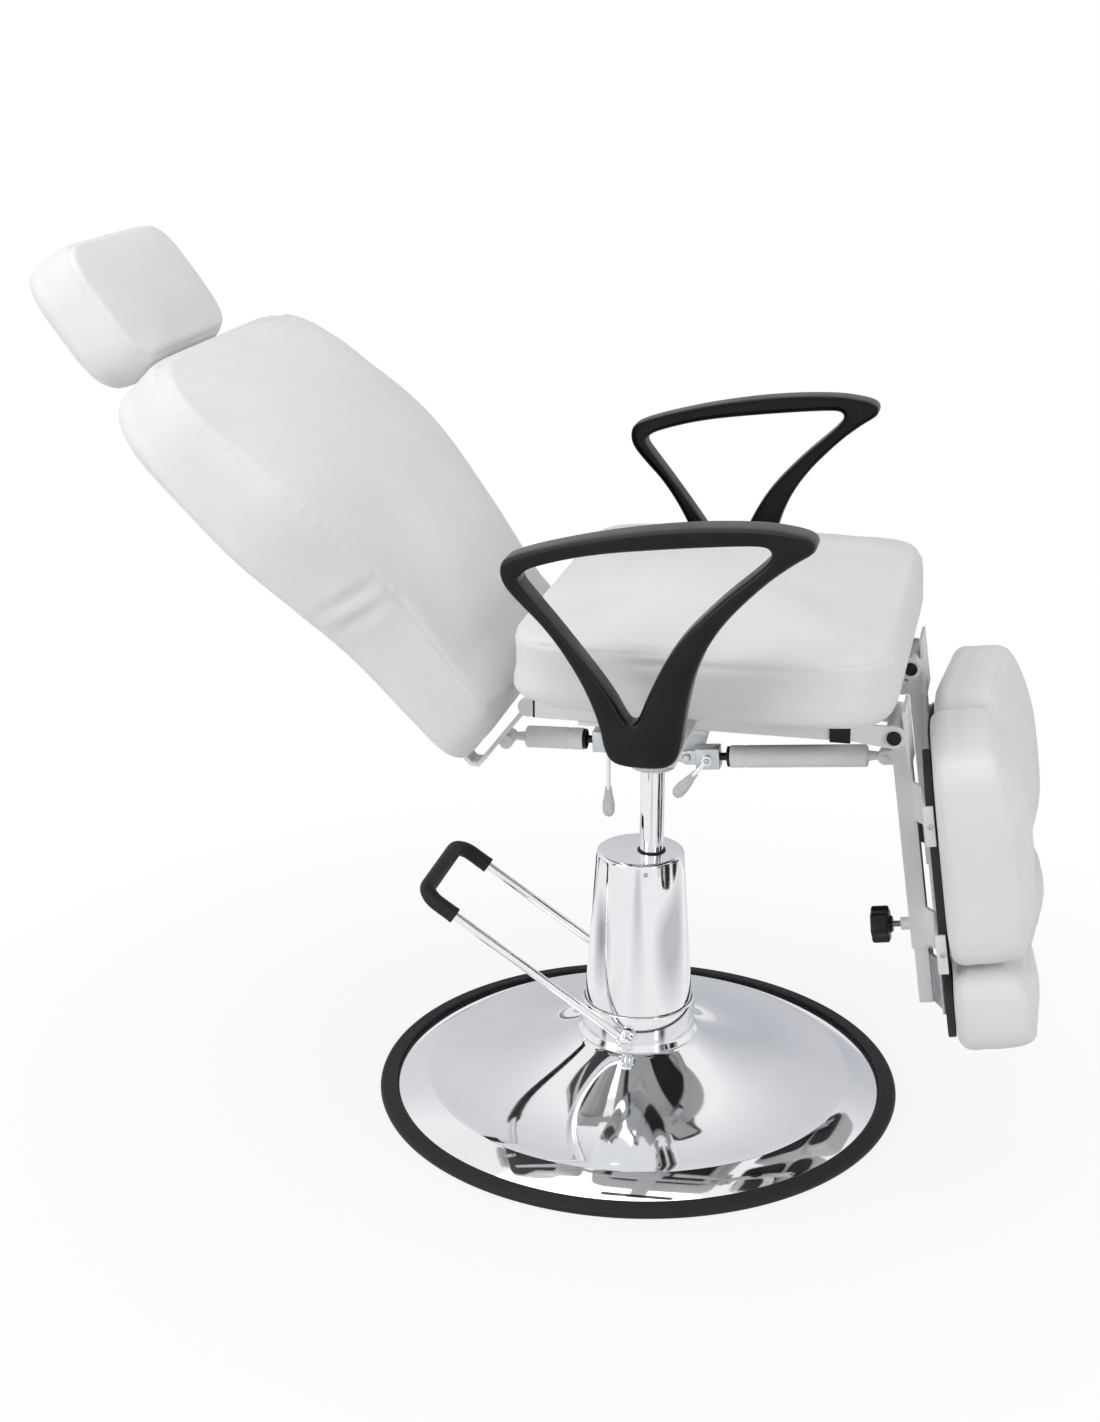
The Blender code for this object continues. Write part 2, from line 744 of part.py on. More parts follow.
def make_seat_frame(seat, finishes):
    """Hub, folded carrier with strut pivots, side rails, front cross tube with ears, and back hinges."""
    white = finishes["white_paint"]
    solid(
        "swivel_hub",
        seat,
        white,
        rod((0, 0, HUB_TOP - HUB_LENGTH), (0, 0, HUB_TOP), HUB_RADIUS, 32),
        cut=(rod((0, 0, HUB_TOP - 2 * HUB_LENGTH), (0, 0, HUB_BORE_TOP), PISTON_RADIUS + RUNNING, 32),),
    )
    gusset = rounded(
        [
            (CARRIER_FRONT, CARRIER_TOP - FIT, FIT),
            (CARRIER_REAR + PIVOT_LAND, CARRIER_TOP - FIT, FIT),
            (BACK_PIVOT_X - PIVOT_LAND, -BACK_PIVOT_DROP - PIVOT_LAND, PIVOT_LAND),
            (LEG_PIVOT_X + PIVOT_LAND, -LEG_PIVOT_DROP - PIVOT_LAND, PIVOT_LAND),
        ]
    )
    inner = GUSSET_SPACING - GUSSET_THICKNESS / 2
    outer = GUSSET_SPACING + GUSSET_THICKNESS / 2
    joined = []
    for side in (-1, 1):
        joined.append(plate(gusset, "y", *sorted((side * inner, side * outer))))
        joined.append(
            rod(
                (LEG_PIVOT_X, side * GUSSET_SPACING, -LEG_PIVOT_DROP),
                (LEG_PIVOT_X, side * (LEG_SPACING + 0.8 * STRUT_EYE_WIDTH), -LEG_PIVOT_DROP),
                STRUT_PIN_RADIUS,
            )
        )
    joined.append(
        rod(
            (BACK_PIVOT_X, -GUSSET_SPACING, -BACK_PIVOT_DROP),
            (BACK_PIVOT_X, -BACK_STRUT_SPACING + 0.8 * STRUT_EYE_WIDTH, -BACK_PIVOT_DROP),
            STRUT_PIN_RADIUS,
        )
    )
    solid(
        "carrier",
        seat,
        white,
        block((CARRIER_REAR, -RAIL_OUTER, CARRIER_BOTTOM), (CARRIER_FRONT, RAIL_OUTER, CARRIER_TOP)),
        joined=joined,
    )
    for side, name in ((-1, "right"), (1, "left")):
        ends = sorted((side * RAIL_INNER, side * RAIL_OUTER))
        hollow = [ends[0] + RAIL_WALL, ends[1] - RAIL_WALL]
        front = CROSS_TUBE_REAR - FIT
        solid(
            f"seat_rail_{name}",
            seat,
            white,
            block((RAIL_REAR, ends[0], -RAIL_DEPTH), (front, ends[1], 0)),
            cut=(
                block(
                    (RAIL_REAR - RAIL_DEPTH, hollow[0], RAIL_WALL - RAIL_DEPTH),
                    (front + RAIL_DEPTH, hollow[1], -RAIL_WALL),
                ),
            ),
        )
    high = -CROSS_TUBE_DROP
    low = high - CROSS_TUBE_SIZE
    middle = (low + high) / 2
    inside = CROSS_TUBE_SIZE / 2 - RAIL_WALL
    centre = CROSS_TUBE_FRONT - CROSS_TUBE_SIZE / 2
    ear = arc((LEG_HINGE_X, -LEG_HINGE_DROP), LEG_EAR_RADIUS, -90, 90, 8)
    root = CROSS_TUBE_FRONT - RAIL_WALL / 2
    ear = [(root, low + RAIL_WALL)] + ear + [(root, high - RAIL_WALL)]
    ears = []
    for side in (-1, 1):
        for end in (-1, 1):
            near = side * LEG_SPACING + end * (LEG_BARREL_LENGTH / 2 + FIT)
            ears.append(plate(ear, "y", *sorted((near, near + end * LEG_EAR_THICKNESS))))
    reach = 2 * RAIL_OUTER
    solid(
        "front_cross_tube",
        seat,
        white,
        block((CROSS_TUBE_REAR, -RAIL_OUTER, low), (CROSS_TUBE_FRONT, RAIL_OUTER, high)),
        joined=ears,
        cut=(
            block((centre - inside, -reach, middle - inside), (centre + inside, reach, middle + inside)),
            rod(
                (LEG_HINGE_X, -reach, -LEG_HINGE_DROP),
                (LEG_HINGE_X, reach, -LEG_HINGE_DROP),
                LEG_BOLT_RADIUS + FIT,
            ),
        ),
    )
    for side, name in ((-1, "right"), (1, "left")):
        half = LEG_BARREL_LENGTH / 2 + 2 * FIT + LEG_EAR_THICKNESS
        middle_y = side * LEG_SPACING
        heads = []
        for end in (-1, 1):
            face = middle_y + end * half
            heads.append(
                rod(
                    (LEG_HINGE_X, face, -LEG_HINGE_DROP),
                    (LEG_HINGE_X, face + end * LEG_BOLT_HEAD, -LEG_HINGE_DROP),
                    LEG_BOLT_HEAD_RADIUS,
                )
            )
        solid(
            f"leg_hinge_bolt_{name}",
            seat,
            finishes["black_plastic"],
            rod(
                (LEG_HINGE_X, middle_y - half - LEG_BOLT_HEAD / 2, -LEG_HINGE_DROP),
                (LEG_HINGE_X, middle_y + half + LEG_BOLT_HEAD / 2, -LEG_HINGE_DROP),
                LEG_BOLT_RADIUS,
            ),
            joined=heads,
        )
    hinge_land = 1.2 * KNUCKLE_RADIUS
    hinge = arc((BACK_HINGE_X, -BACK_HINGE_DROP), hinge_land, 90, 270, 8)
    hinge += [(RAIL_REAR + RAIL_DEPTH, RAIL_WALL - RAIL_DEPTH), (RAIL_REAR + RAIL_DEPTH, -RAIL_WALL)]
    hinge += [(RAIL_REAR, -RAIL_WALL)]
    for side, name in ((-1, "right"), (1, "left")):
        face = side * (RAIL_INNER - FIT)
        back = side * (RAIL_INNER - FIT - HINGE_PLATE_THICKNESS)
        solid(
            f"back_hinge_{name}",
            seat,
            white,
            plate(hinge, "y", *sorted((face, back))),
            joined=(
                rod(
                    (BACK_HINGE_X, (face + back) / 2, -BACK_HINGE_DROP),
                    (BACK_HINGE_X, side * (STRAP_INNER - 2 * FIT), -BACK_HINGE_DROP),
                    HINGE_PIN_RADIUS,
                ),
            ),
        )


def make_seat_cushion(seat, finishes):
    half = SEAT_WIDTH / 2
    inset = SEAT_BOARD_INSET
    side = SEAT_BOARD_SIDE_INSET
    board_front = min(SEAT_FRONT - inset, LEG_HINGE_X - KNUCKLE_RADIUS * 2)
    corners = [
        (SEAT_REAR + inset, side - half, SEAT_CORNER),
        (board_front, side - half, SEAT_CORNER),
        (board_front, half - side, SEAT_CORNER),
        (SEAT_REAR + inset, half - side, SEAT_CORNER),
    ]
    solid(
        "seat_board",
        seat,
        finishes["black_board"],
        plate(rounded(corners), "z", SEAT_BOARD_BOTTOM, SEAT_BOARD_BOTTOM + SEAT_BOARD_THICKNESS),
    )
    corners = [
        (SEAT_REAR, -half, SEAT_CORNER),
        (SEAT_FRONT, -half, SEAT_CORNER),
        (SEAT_FRONT, half, SEAT_CORNER),
        (SEAT_REAR, half, SEAT_CORNER),
    ]
    outline = even_loop(rounded(corners, steps=6), 44)
    solid(
        "seat_cushion",
        seat,
        finishes["white_leather"],
        cushion(
            outline,
            lambda a, b, depth: (a, b, depth),
            lambda a, b: SEAT_BOTTOM,
            lambda a, b: SEAT_BOTTOM + SEAT_SIDE_HEIGHT,
            SEAT_CROWN,
            SEAT_EDGE,
            CUSHION_DRAW,
        ),
    )


def smoothed(loop, rounds=2):
    """A closed loop with its corners cut off, again and again, until it flows."""
    for _ in range(rounds):
        cut_loop = []
        for (ax, az), (bx, bz) in zip(loop, loop[1:] + loop[:1]):
            cut_loop.append((0.75 * ax + 0.25 * bx, 0.75 * az + 0.25 * bz))
            cut_loop.append((0.25 * ax + 0.75 * bx, 0.25 * az + 0.75 * bz))
        loop = cut_loop
    return loop


def arm_loops():
    """The outer edge and the hole of an arm rest, as points from the bottom of its foot.

    Bar and legs are laid out in shares of the reach to the rear or to the front, and the foot in shares of
    half its width. Heights are shares of the rise.
    """

    def laid_out(points, rear, front):
        return [(x * (front if x > 0 else rear), z * ARM_RISE) for x, z in points]

    bar_and_front_leg = (
        (-0.917, 0.844),
        (-0.675, 0.888),
        (-0.245, 0.947),
        (0.242, 0.993),
        (0.672, 1.009),
        (0.892, 0.993),
        (0.981, 0.974),
        (1.005, 0.947),
        (0.987, 0.916),
        (0.882, 0.875),
        (0.699, 0.780),
        (0.446, 0.605),
        (0.301, 0.423),
    )
    foot = (
        (1.048, 0.213),
        (0.952, 0.076),
        (0.786, 0.022),
        (0.357, 0.0),
        (-0.476, 0.0),
        (-0.917, 0.015),
        (-1.131, 0.065),
        (-1.262, 0.165),
    )
    rear_leg = (
        (-0.442, 0.337),
        (-0.663, 0.536),
        (-0.908, 0.674),
        (-0.985, 0.730),
        (-1.003, 0.778),
        (-0.985, 0.820),
    )
    hole_top = (
        (-0.871, 0.739),
        (-0.859, 0.768),
        (-0.767, 0.802),
        (-0.368, 0.864),
        (0.161, 0.905),
        (0.634, 0.936),
        (0.734, 0.931),
        (0.745, 0.893),
        (0.656, 0.832),
        (0.446, 0.713),
        (0.177, 0.526),
    )
    hole_bottom = ((0.095, 0.320), (-0.214, 0.192), (-0.376, 0.175), (-0.560, 0.192), (-0.930, 0.299))
    hole_rear = ((-0.553, 0.524), (-0.806, 0.694))
    half = ARM_FOOT_WIDTH / 2
    outer = laid_out(bar_and_front_leg, ARM_REACH_BACK, ARM_REACH_FRONT)
    outer += laid_out(foot, half, half)
    outer += laid_out(rear_leg, ARM_REACH_BACK, ARM_REACH_FRONT)
    hole = laid_out(hole_top, ARM_REACH_BACK, ARM_REACH_FRONT)
    hole += laid_out(hole_bottom, half, half)
    hole += laid_out(hole_rear, ARM_REACH_BACK, ARM_REACH_FRONT)
    return smoothed(outer), smoothed(hole)


def arm_shape(side):
    """A moulded loop with rounded edges, which leans out and thickens towards the top."""
    shape = bmesh.new()
    outer, hole = arm_loops()

    def stepped(loop, amount):
        count = len(loop)
        moved_loop = []
        for index, (x, z) in enumerate(loop):
            along = (Vector(loop[(index + 1) % count]) - Vector(loop[index - 1])).normalized()
            moved_loop.append((x - along.y * amount, z + along.x * amount))
        return moved_loop

    def place(x, z, share):
        climb = max(0.0, min(1.0, (z - ARM_CROTCH) / (ARM_RISE - ARM_CROTCH)))
        half = (ARM_FOOT_THICKNESS + (ARM_TOP_THICKNESS - ARM_FOOT_THICKNESS) * climb) / 2
        across = ARM_SPACING + ARM_LEAN * climb + share * half
        return (ARM_FOOT_X + x, side * across, z - ARM_FOOT_DROP)

    turn = 1 if sum(a[0] * b[1] - b[0] * a[1] for a, b in zip(outer, outer[1:] + outer[:1])) > 0 else -1
    turn_hole = 1 if sum(a[0] * b[1] - b[0] * a[1] for a, b in zip(hole, hole[1:] + hole[:1])) > 0 else -1
    edges = []
    for loop, inward in ((outer, turn), (hole, -turn_hole)):
        levels = []
        for share, amount in ((-1.0, ARM_ROUND), (-0.62, 0.0), (0.62, 0.0), (1.0, ARM_ROUND)):
            points = stepped(loop, inward * amount)
            levels.append([shape.verts.new(place(x, z, share)) for x, z in points])
        for first, second in zip(levels, levels[1:]):
            for index in range(len(first)):
                after = (index + 1) % len(first)
                shape.faces.new((first[index], first[after], second[after], second[index]))
        edges.append((levels[0], levels[-1]))
    for level in (0, 1):
        rims = []
        for pair in edges:
            loop = pair[level]
            rims += [shape.edges.get((a, b)) for a, b in zip(loop, loop[1:] + loop[:1])]
        bmesh.ops.triangle_fill(shape, use_beauty=True, use_dissolve=False, edges=rims)
    return shape


def make_arms(seat, finishes):
    """Moulded arm loops, each on a folded bracket that is bolted to its rail."""
    for side, name in ((-1, "right"), (1, "left")):
        solid(f"armrest_{name}", seat, finishes["black_plastic"], arm_shape(side))
        start = RAIL_OUTER + FIT + ARM_BRACKET_THICKNESS / 2
        end = ARM_SPACING - ARM_FOOT_THICKNESS / 2 - FIT - ARM_BRACKET_THICKNESS / 2
        shelf = -0.7 * RAIL_DEPTH
        profile = strip(
            [
                (side * start, -RAIL_WALL),
                (side * start, shelf),
                (side * end, shelf),
                (side * end, ARM_BRACKET_RISE - ARM_FOOT_DROP),
            ],
            ARM_BRACKET_THICKNESS,
        )
        solid(
            f"arm_bracket_{name}",
            seat,
            finishes["white_paint"],
            plate(profile, "x", ARM_FOOT_X - ARM_BRACKET_WIDTH / 2, ARM_FOOT_X + ARM_BRACKET_WIDTH / 2),
        )


def back_corners(inset, low, high):
    """The back rest seen from the front, as (y, z) corners with radii."""
    waist = BACK_WAIST_WIDTH / 2 - inset
    wide = BACK_WIDTH / 2 - inset
    top = max(BACK_TOP_CORNER - inset, inset)
    sway = (BACK_WIDE_START - BACK_WAIST_END) / 1.2
    half = [
        (waist, low, BACK_FOOT_CORNER),
        (waist, BACK_WAIST_END, sway),
        (wide, BACK_WIDE_START, sway),
        (wide, high, top),
    ]
    return half + [(-y, z, radius) for y, z, radius in half[::-1]]


def back_front(z):
    """How far the front seam of the back rest lies ahead of the hinge line, at a height along the back."""
    share = z / BACK_LENGTH
    lumbar = BACK_LUMBAR * math.sin(math.pi * min(max((share - 0.18) / 0.62, 0.0), 1.0))
    fall = BACK_TOP_FALL * max(0.0, (share - 0.62) / 0.38) ** 2
    chamfer = BACK_FOOT_CHAMFER * max(0.0, 1.0 - z / (0.45 * BACK_FOOT_CHAMFER)) ** 1.5
    return lumbar - fall - chamfer - BACK_LUMBAR / 2


def make_back(seat, finishes):
    """Two bent straps on the hinge pins, a board, the cushion, and a sleeve for the head rest's bar."""
    frame = Frame("back_hinge", seat, moved(x=BACK_HINGE_X, z=-BACK_HINGE_DROP, lean=-BACK_LEAN))
    white = finishes["white_paint"]
    bend = STRAP_DIP / 2
    run = strip(
        [
            (STRAP_CENTRE, STRAP_LENGTH),
            (STRAP_CENTRE, bend - STRAP_DIP),
            (STRAP_CENTRE + bend, -STRAP_DIP),
            (-KNUCKLE_RADIUS / 2, -STRAP_DIP * KNUCKLE_RADIUS / 2 / abs(STRAP_CENTRE + bend)),
        ],
        STRAP_THICKNESS,
    )
    for side, name in ((-1, "right"), (1, "left")):
        ends = sorted((side * STRAP_INNER, side * STRAP_OUTER))
        joined = [rod((0, ends[0], 0), (0, ends[1], 0), KNUCKLE_RADIUS)]
        if side < 0:
            lug = arc((BACK_LUG_X, BACK_LUG_Z), LUG_RADIUS, 0, 337.5, 15)
            inner = -STRAP_INNER + LUG_EAR_THICKNESS
            joined.append(plate(lug, "y", -STRAP_INNER - LUG_EAR_THICKNESS / 8, inner))
            joined.append(
                rod(
                    (BACK_LUG_X, inner - LUG_EAR_THICKNESS / 2, BACK_LUG_Z),
                    (BACK_LUG_X, -BACK_STRUT_SPACING + 0.8 * STRUT_EYE_WIDTH, BACK_LUG_Z),
                    STRUT_PIN_RADIUS,
                )
            )
        solid(
            f"back_strap_{name}",
            frame,
            white,
            plate(run, "y", *ends),
            joined=joined,
            cut=(
                rod(
                    (0, ends[0] - STRAP_WIDTH, 0),
                    (0, ends[1] + STRAP_WIDTH, 0),
                    HINGE_PIN_RADIUS + RUNNING,
                ),
            ),
        )
    inset = BACK_BOARD_INSET
    board = rounded(back_corners(inset, inset, BACK_LENGTH - inset))
    solid("back_board", frame, finishes["black_board"], plate(board, "x", BACK_BOARD_REAR, BACK_REAR - FIT))
    pocket = rounded(back_corners(inset - 2 * FIT, inset - 2 * FIT, BACK_LENGTH - inset + 2 * FIT))
    cover_rear = BACK_BOARD_REAR + BACK_BOARD_PROUD
    outline = even_loop(rounded(back_corners(0.0, 0.0, BACK_LENGTH), steps=6), 54)
    solid(
        "back_cushion",
        frame,
        finishes["white_leather"],
        cushion(
            outline,
            lambda a, b, depth: (depth, a, b),
            lambda a, b: cover_rear,
            lambda a, b: back_front(b),
            BACK_CROWN,
            BACK_EDGE,
            CUSHION_DRAW,
        ),
        cut=(plate(pocket, "x", BACK_BOARD_REAR - BACK_BOARD_THICKNESS, BACK_REAR),),
    )
    wall = HEAD_SLEEVE_WALL
    rear = BACK_BOARD_REAR - FIT
    room = HEAD_BAR_THICKNESS + 2 * RUNNING
    half = HEAD_BAR_WIDTH / 2 + RUNNING
    top = HEAD_SLEEVE_LOW + HEAD_SLEEVE_LENGTH
    solid(
        "headrest_sleeve",
        frame,
        white,
        block((rear - room - 2 * wall, -half - wall, HEAD_SLEEVE_LOW), (rear, half + wall, top)),
        cut=(block((rear - wall - room, -half, HEAD_SLEEVE_LOW - wall), (rear - wall, half, top + wall)),),
    )
    make_head(frame, finishes, rear - wall - room / 2)
    return frame


def make_head(back, finishes, bar_line):
    """A small cushion on a bent flat bar that slides in the back rest's sleeve."""
    slide = Frame("headrest_slide", back, moved(z=HEAD_BASE))
    tilt = Frame("headrest_tilt", slide, moved(x=-HEAD_SET_BACK, lean=HEAD_TILT))
    half = HEAD_WIDTH / 2
    corners = [
        (half, 0.0, HEAD_CORNER),
        (half, HEAD_LENGTH, HEAD_CORNER),
        (-half, HEAD_LENGTH, HEAD_CORNER),
        (-half, 0.0, HEAD_CORNER),
    ]
    solid(
        "headrest_cushion",
        tilt,
        finishes["white_leather"],
        cushion(
            even_loop(rounded(corners, steps=6), 36),
            lambda a, b, depth: (depth, a, b),
            lambda a, b: -HEAD_THICKNESS,
            lambda a, b: 0.0,
            HEAD_CROWN,
            HEAD_EDGE,
            CUSHION_DRAW,
        ),
    )
    behind = HEAD_THICKNESS + FIT + HEAD_BAR_THICKNESS / 2

    def on_rear(height):
        x = -HEAD_SET_BACK - behind * math.cos(HEAD_TILT) + height * math.sin(HEAD_TILT)
        return (x, height * math.cos(HEAD_TILT) + behind * math.sin(HEAD_TILT))

    path = [
        (bar_line, HEAD_BAR_START - HEAD_BASE),
        (bar_line, -6.4 * HEAD_GAP),
        on_rear(0.03 * HEAD_LENGTH),
        on_rear(0.75 * HEAD_LENGTH),
    ]
    solid(
        "headrest_bar",
        slide,
        finishes["steel"],
        plate(strip(path, HEAD_BAR_THICKNESS), "y", -HEAD_BAR_WIDTH / 2, HEAD_BAR_WIDTH / 2),
    )


def pad_cushion(name, frame, material, top, length):
    """A leg or foot cushion on its board, in the turned frame of the pads."""
    half = PAD_WIDTH / 2
    low = top - length
    corners = [(y, z, PAD_CORNER) for y, z in ((half, low), (half, top), (-half, top), (-half, low))]

    def face(a, b):
        share = max(0.0, (b - top) / (0.45 * length) + 1.0)
        return PAD_DEPTH - PAD_TOP_FALL * share**2

    solid(
        name,
        frame,
        material,
        cushion(
            even_loop(rounded(corners, steps=5), 32),
            lambda a, b, depth: (depth, a, b),
            lambda a, b: 0.0,
            face,
            PAD_CROWN,
            PAD_EDGE,
            CUSHION_DRAW,
        ),
    )


def pad_board(name, frame, material, top, length, top_inset):
    half = PAD_WIDTH / 2 - PAD_BOARD_INSET
    low = top - length + PAD_BOARD_INSET / 2
    high = top - top_inset
    corners = [(y, z, PAD_CORNER) for y, z in ((half, low), (half, high), (-half, high), (-half, low))]
    solid(name, frame, material, plate(rounded(corners, steps=3), "x", PAD_BOARD_REAR, -FIT))


def tie_bracket(side, drop):
    """A folded steel tie from the tube's front face along the pad board's rear and round its outer edge."""
    outer = side * -1
    near = LEG_TUBE / 2 - LEG_TUBE_WALL
    bend = near + TIE_WIDTH / 2
    edge = (PAD_WIDTH / 2 - PAD_BOARD_INSET) * math.cos(PAD_TURN) - PAD_BOARD_REAR * math.sin(PAD_TURN)
    wing = edge + 2 * FIT + TIE_THICKNESS / 2
    slope = math.tan(PAD_TURN)
    seat = PAD_REAR + PAD_BOARD_REAR / math.cos(PAD_TURN) - FIT - TIE_THICKNESS / 2
    face = LEG_TUBE_FRONT - LEG_TUBE_WALL / 2
    path = [
        (face, 0.0),
        (face, outer * -near),
        (seat + slope * bend, outer * -bend),
        (seat + slope * wing, outer * -wing),
        (seat + slope * wing - PAD_BOARD_REAR, outer * -wing),
    ]
    flat = strip(path, TIE_THICKNESS)
    return plate(flat, "z", -drop - TIE_HEIGHT / 2, -drop + TIE_HEIGHT / 2)


def clamp_place(side):
    """Where the clamp's stud enters the tube: on the right from the rear, on the left from outside."""
    if side < 0:
        return moved(x=LEG_TUBE_REAR, z=-KNOB_DROP)
    return moved(x=LEG_TUBE_CENTRE - KNOB_STUD_RADIUS, y=LEG_TUBE / 2, z=-KNOB_DROP, turn=-math.pi / 2)


def make_leg(seat, side, name, finishes):
    """One leg rest: hinged tube with its ties, board and cushion, sliding foot rest and clamp knob."""
    white = finishes["white_paint"]
    frame = Frame(
        f"leg_hinge_{name}",
        seat,
        moved(x=LEG_HINGE_X, y=side * LEG_SPACING, z=-LEG_HINGE_DROP, lean=-LEG_LEAN),
    )
    clamp = clamp_place(side)
    half = LEG_TUBE / 2
    barrel = LEG_BARREL_LENGTH / 2
    plate_front = LEG_TUBE_FRONT + LEG_PLATE_THICKNESS / 2
    plate_rear = plate_front - LEG_PLATE_THICKNESS
    plate_edges = sorted((side * -LEG_TUBE, side * barrel))
    joined = [
        block((LEG_TUBE_REAR, -half, -LEG_TUBE_LENGTH), (LEG_TUBE_FRONT, half, 0)),
        block((plate_rear, plate_edges[0], -LEG_PLATE_FALL), (plate_front, plate_edges[1], LEG_PLATE_RISE)),
        tie_bracket(side, TIE_DROP_HIGH),
        tie_bracket(side, TIE_DROP_LOW - TIE_HEIGHT / 4),
        rod(
            clamp @ Vector((LEG_TUBE_WALL / 2, 0, 0)),
            clamp @ Vector((-KNOB_BOSS_LENGTH, 0, 0)),
            KNOB_BOSS_RADIUS,
        ),
    ]
    gap = STRUT_EYE_WIDTH / 2 + 2 * FIT
    ear = arc((LEG_LUG_X, LEG_LUG_Z), LUG_RADIUS, 90, 270, 6)
    root = LEG_TUBE_REAR + LEG_TUBE_WALL / 2
    ear = [(root, LEG_LUG_Z + LUG_RADIUS)] + ear + [(root, LEG_LUG_Z - LUG_RADIUS)]
    for end in (-1, 1):
        joined.append(plate(ear, "y", *sorted((end * gap, end * (gap + LUG_EAR_THICKNESS)))))
    pin_reach = gap + LUG_EAR_THICKNESS + STRUT_PIN_RADIUS / 2
    joined.append(
        rod((LEG_LUG_X, -pin_reach, LEG_LUG_Z), (LEG_LUG_X, pin_reach, LEG_LUG_Z), STRUT_PIN_RADIUS)
    )
    inside = half - LEG_TUBE_WALL
    cavity_top = FOOT_TUBE_TOP + LEG_TUBE
    solid(
        f"leg_frame_{name}",
        frame,
        white,
        rod((0, -barrel, 0), (0, barrel, 0), LEG_BARREL_RADIUS),
        joined=joined,
        cut=(
            rod((0, -LEG_BARREL_LENGTH, 0), (0, LEG_BARREL_LENGTH, 0), LEG_BOLT_RADIUS + RUNNING),
            block(
                (LEG_TUBE_CENTRE - inside, -inside, -LEG_TUBE_LENGTH - LEG_TUBE),
                (LEG_TUBE_CENTRE + inside, inside, cavity_top),
            ),
            rod(
                clamp @ Vector((LEG_TUBE / 2, 0, 0)),
                clamp @ Vector((-2 * KNOB_BOSS_LENGTH, 0, 0)),
                KNOB_STUD_RADIUS + RUNNING,
            ),
        ),
    )
    pad = Frame(f"leg_pad_{name}", frame, moved(x=PAD_REAR, turn=-side * PAD_TURN))
    board_size = (LEG_PAD_TOP, LEG_PAD_LENGTH, LEG_BOARD_TOP_INSET)
    pad_board(f"leg_board_{name}", pad, finishes["black_board"], *board_size)
    pad_cushion(f"leg_cushion_{name}", pad, finishes["white_leather"], LEG_PAD_TOP, LEG_PAD_LENGTH)
    make_foot(frame, side, name, finishes)
    make_knob(frame, clamp, name, finishes)
    return frame


def make_foot(leg, side, name, finishes):
    """Foot rest: inner tube that slides in the leg tube, bent bracket, board and cushion."""
    frame = Frame(f"foot_slide_{name}", leg, moved())
    half = FOOT_TUBE / 2
    wall = LEG_TUBE_WALL
    inside = half - wall
    solid(
        f"foot_tube_{name}",
        frame,
        finishes["white_paint"],
        block(
            (LEG_TUBE_CENTRE - half, -half, FOOT_TUBE_BOTTOM),
            (LEG_TUBE_CENTRE + half, half, FOOT_TUBE_TOP),
        ),
        cut=(
            block(
                (LEG_TUBE_CENTRE - inside, -inside, FOOT_TUBE_BOTTOM - wall),
                (LEG_TUBE_CENTRE + inside, inside, FOOT_TUBE_TOP + wall),
            ),
        ),
    )
    thick = FOOT_BRACKET_THICKNESS
    slope = math.tan(PAD_TURN)
    seat = PAD_REAR + PAD_BOARD_REAR / math.cos(PAD_TURN) - FIT - thick / 2
    face = LEG_TUBE_CENTRE + half + FIT + thick / 2
    wing = half + FOOT_BRACKET_WIDTH
    path = [
        (face, -side * half),
        (face, side * half),
        (seat + slope * 0.7 * wing, side * 0.7 * wing),
        (seat + slope * wing, side * wing),
    ]
    low = FOOT_TUBE_BOTTOM + wall
    high = -LEG_TUBE_LENGTH - FOOT_GAP
    solid(
        f"foot_bracket_{name}",
        frame,
        finishes["grey_steel"],
        plate(strip(path, thick), "z", low, high),
    )
    pad = Frame(f"foot_pad_{name}", frame, moved(x=PAD_REAR, turn=-side * PAD_TURN))
    board_size = (FOOT_PAD_TOP, FOOT_PAD_LENGTH, FOOT_BOARD_TOP_INSET)
    pad_board(f"foot_board_{name}", pad, finishes["black_board"], *board_size)
    pad_cushion(f"foot_cushion_{name}", pad, finishes["white_leather"], FOOT_PAD_TOP, FOOT_PAD_LENGTH)


def make_knob(leg, place, name, finishes):
    """Lobed clamp knob with its threaded stud."""
    frame = Frame(f"clamp_{name}", leg, place)
    lobes = []
    count = 5 * KNOB_LOBES
    for step in range(count):
        angle = 2 * math.pi * step / count
        radius = KNOB_RADIUS - KNOB_LOBE_DEPTH * (0.5 - 0.5 * math.cos(KNOB_LOBES * angle))
        lobes.append((radius * math.cos(angle), radius * math.sin(angle)))
    near = -KNOB_STAND_OFF
    far = near - KNOB_LENGTH
    solid(
        f"clamp_knob_{name}",
        frame,
        finishes["black_plastic"],
        plate(lobes, "x", far, near),
        joined=(rod((LEG_TUBE_WALL - FIT, 0, 0), (near - KNOB_LENGTH / 2, 0, 0), KNOB_STUD_RADIUS),),
    )


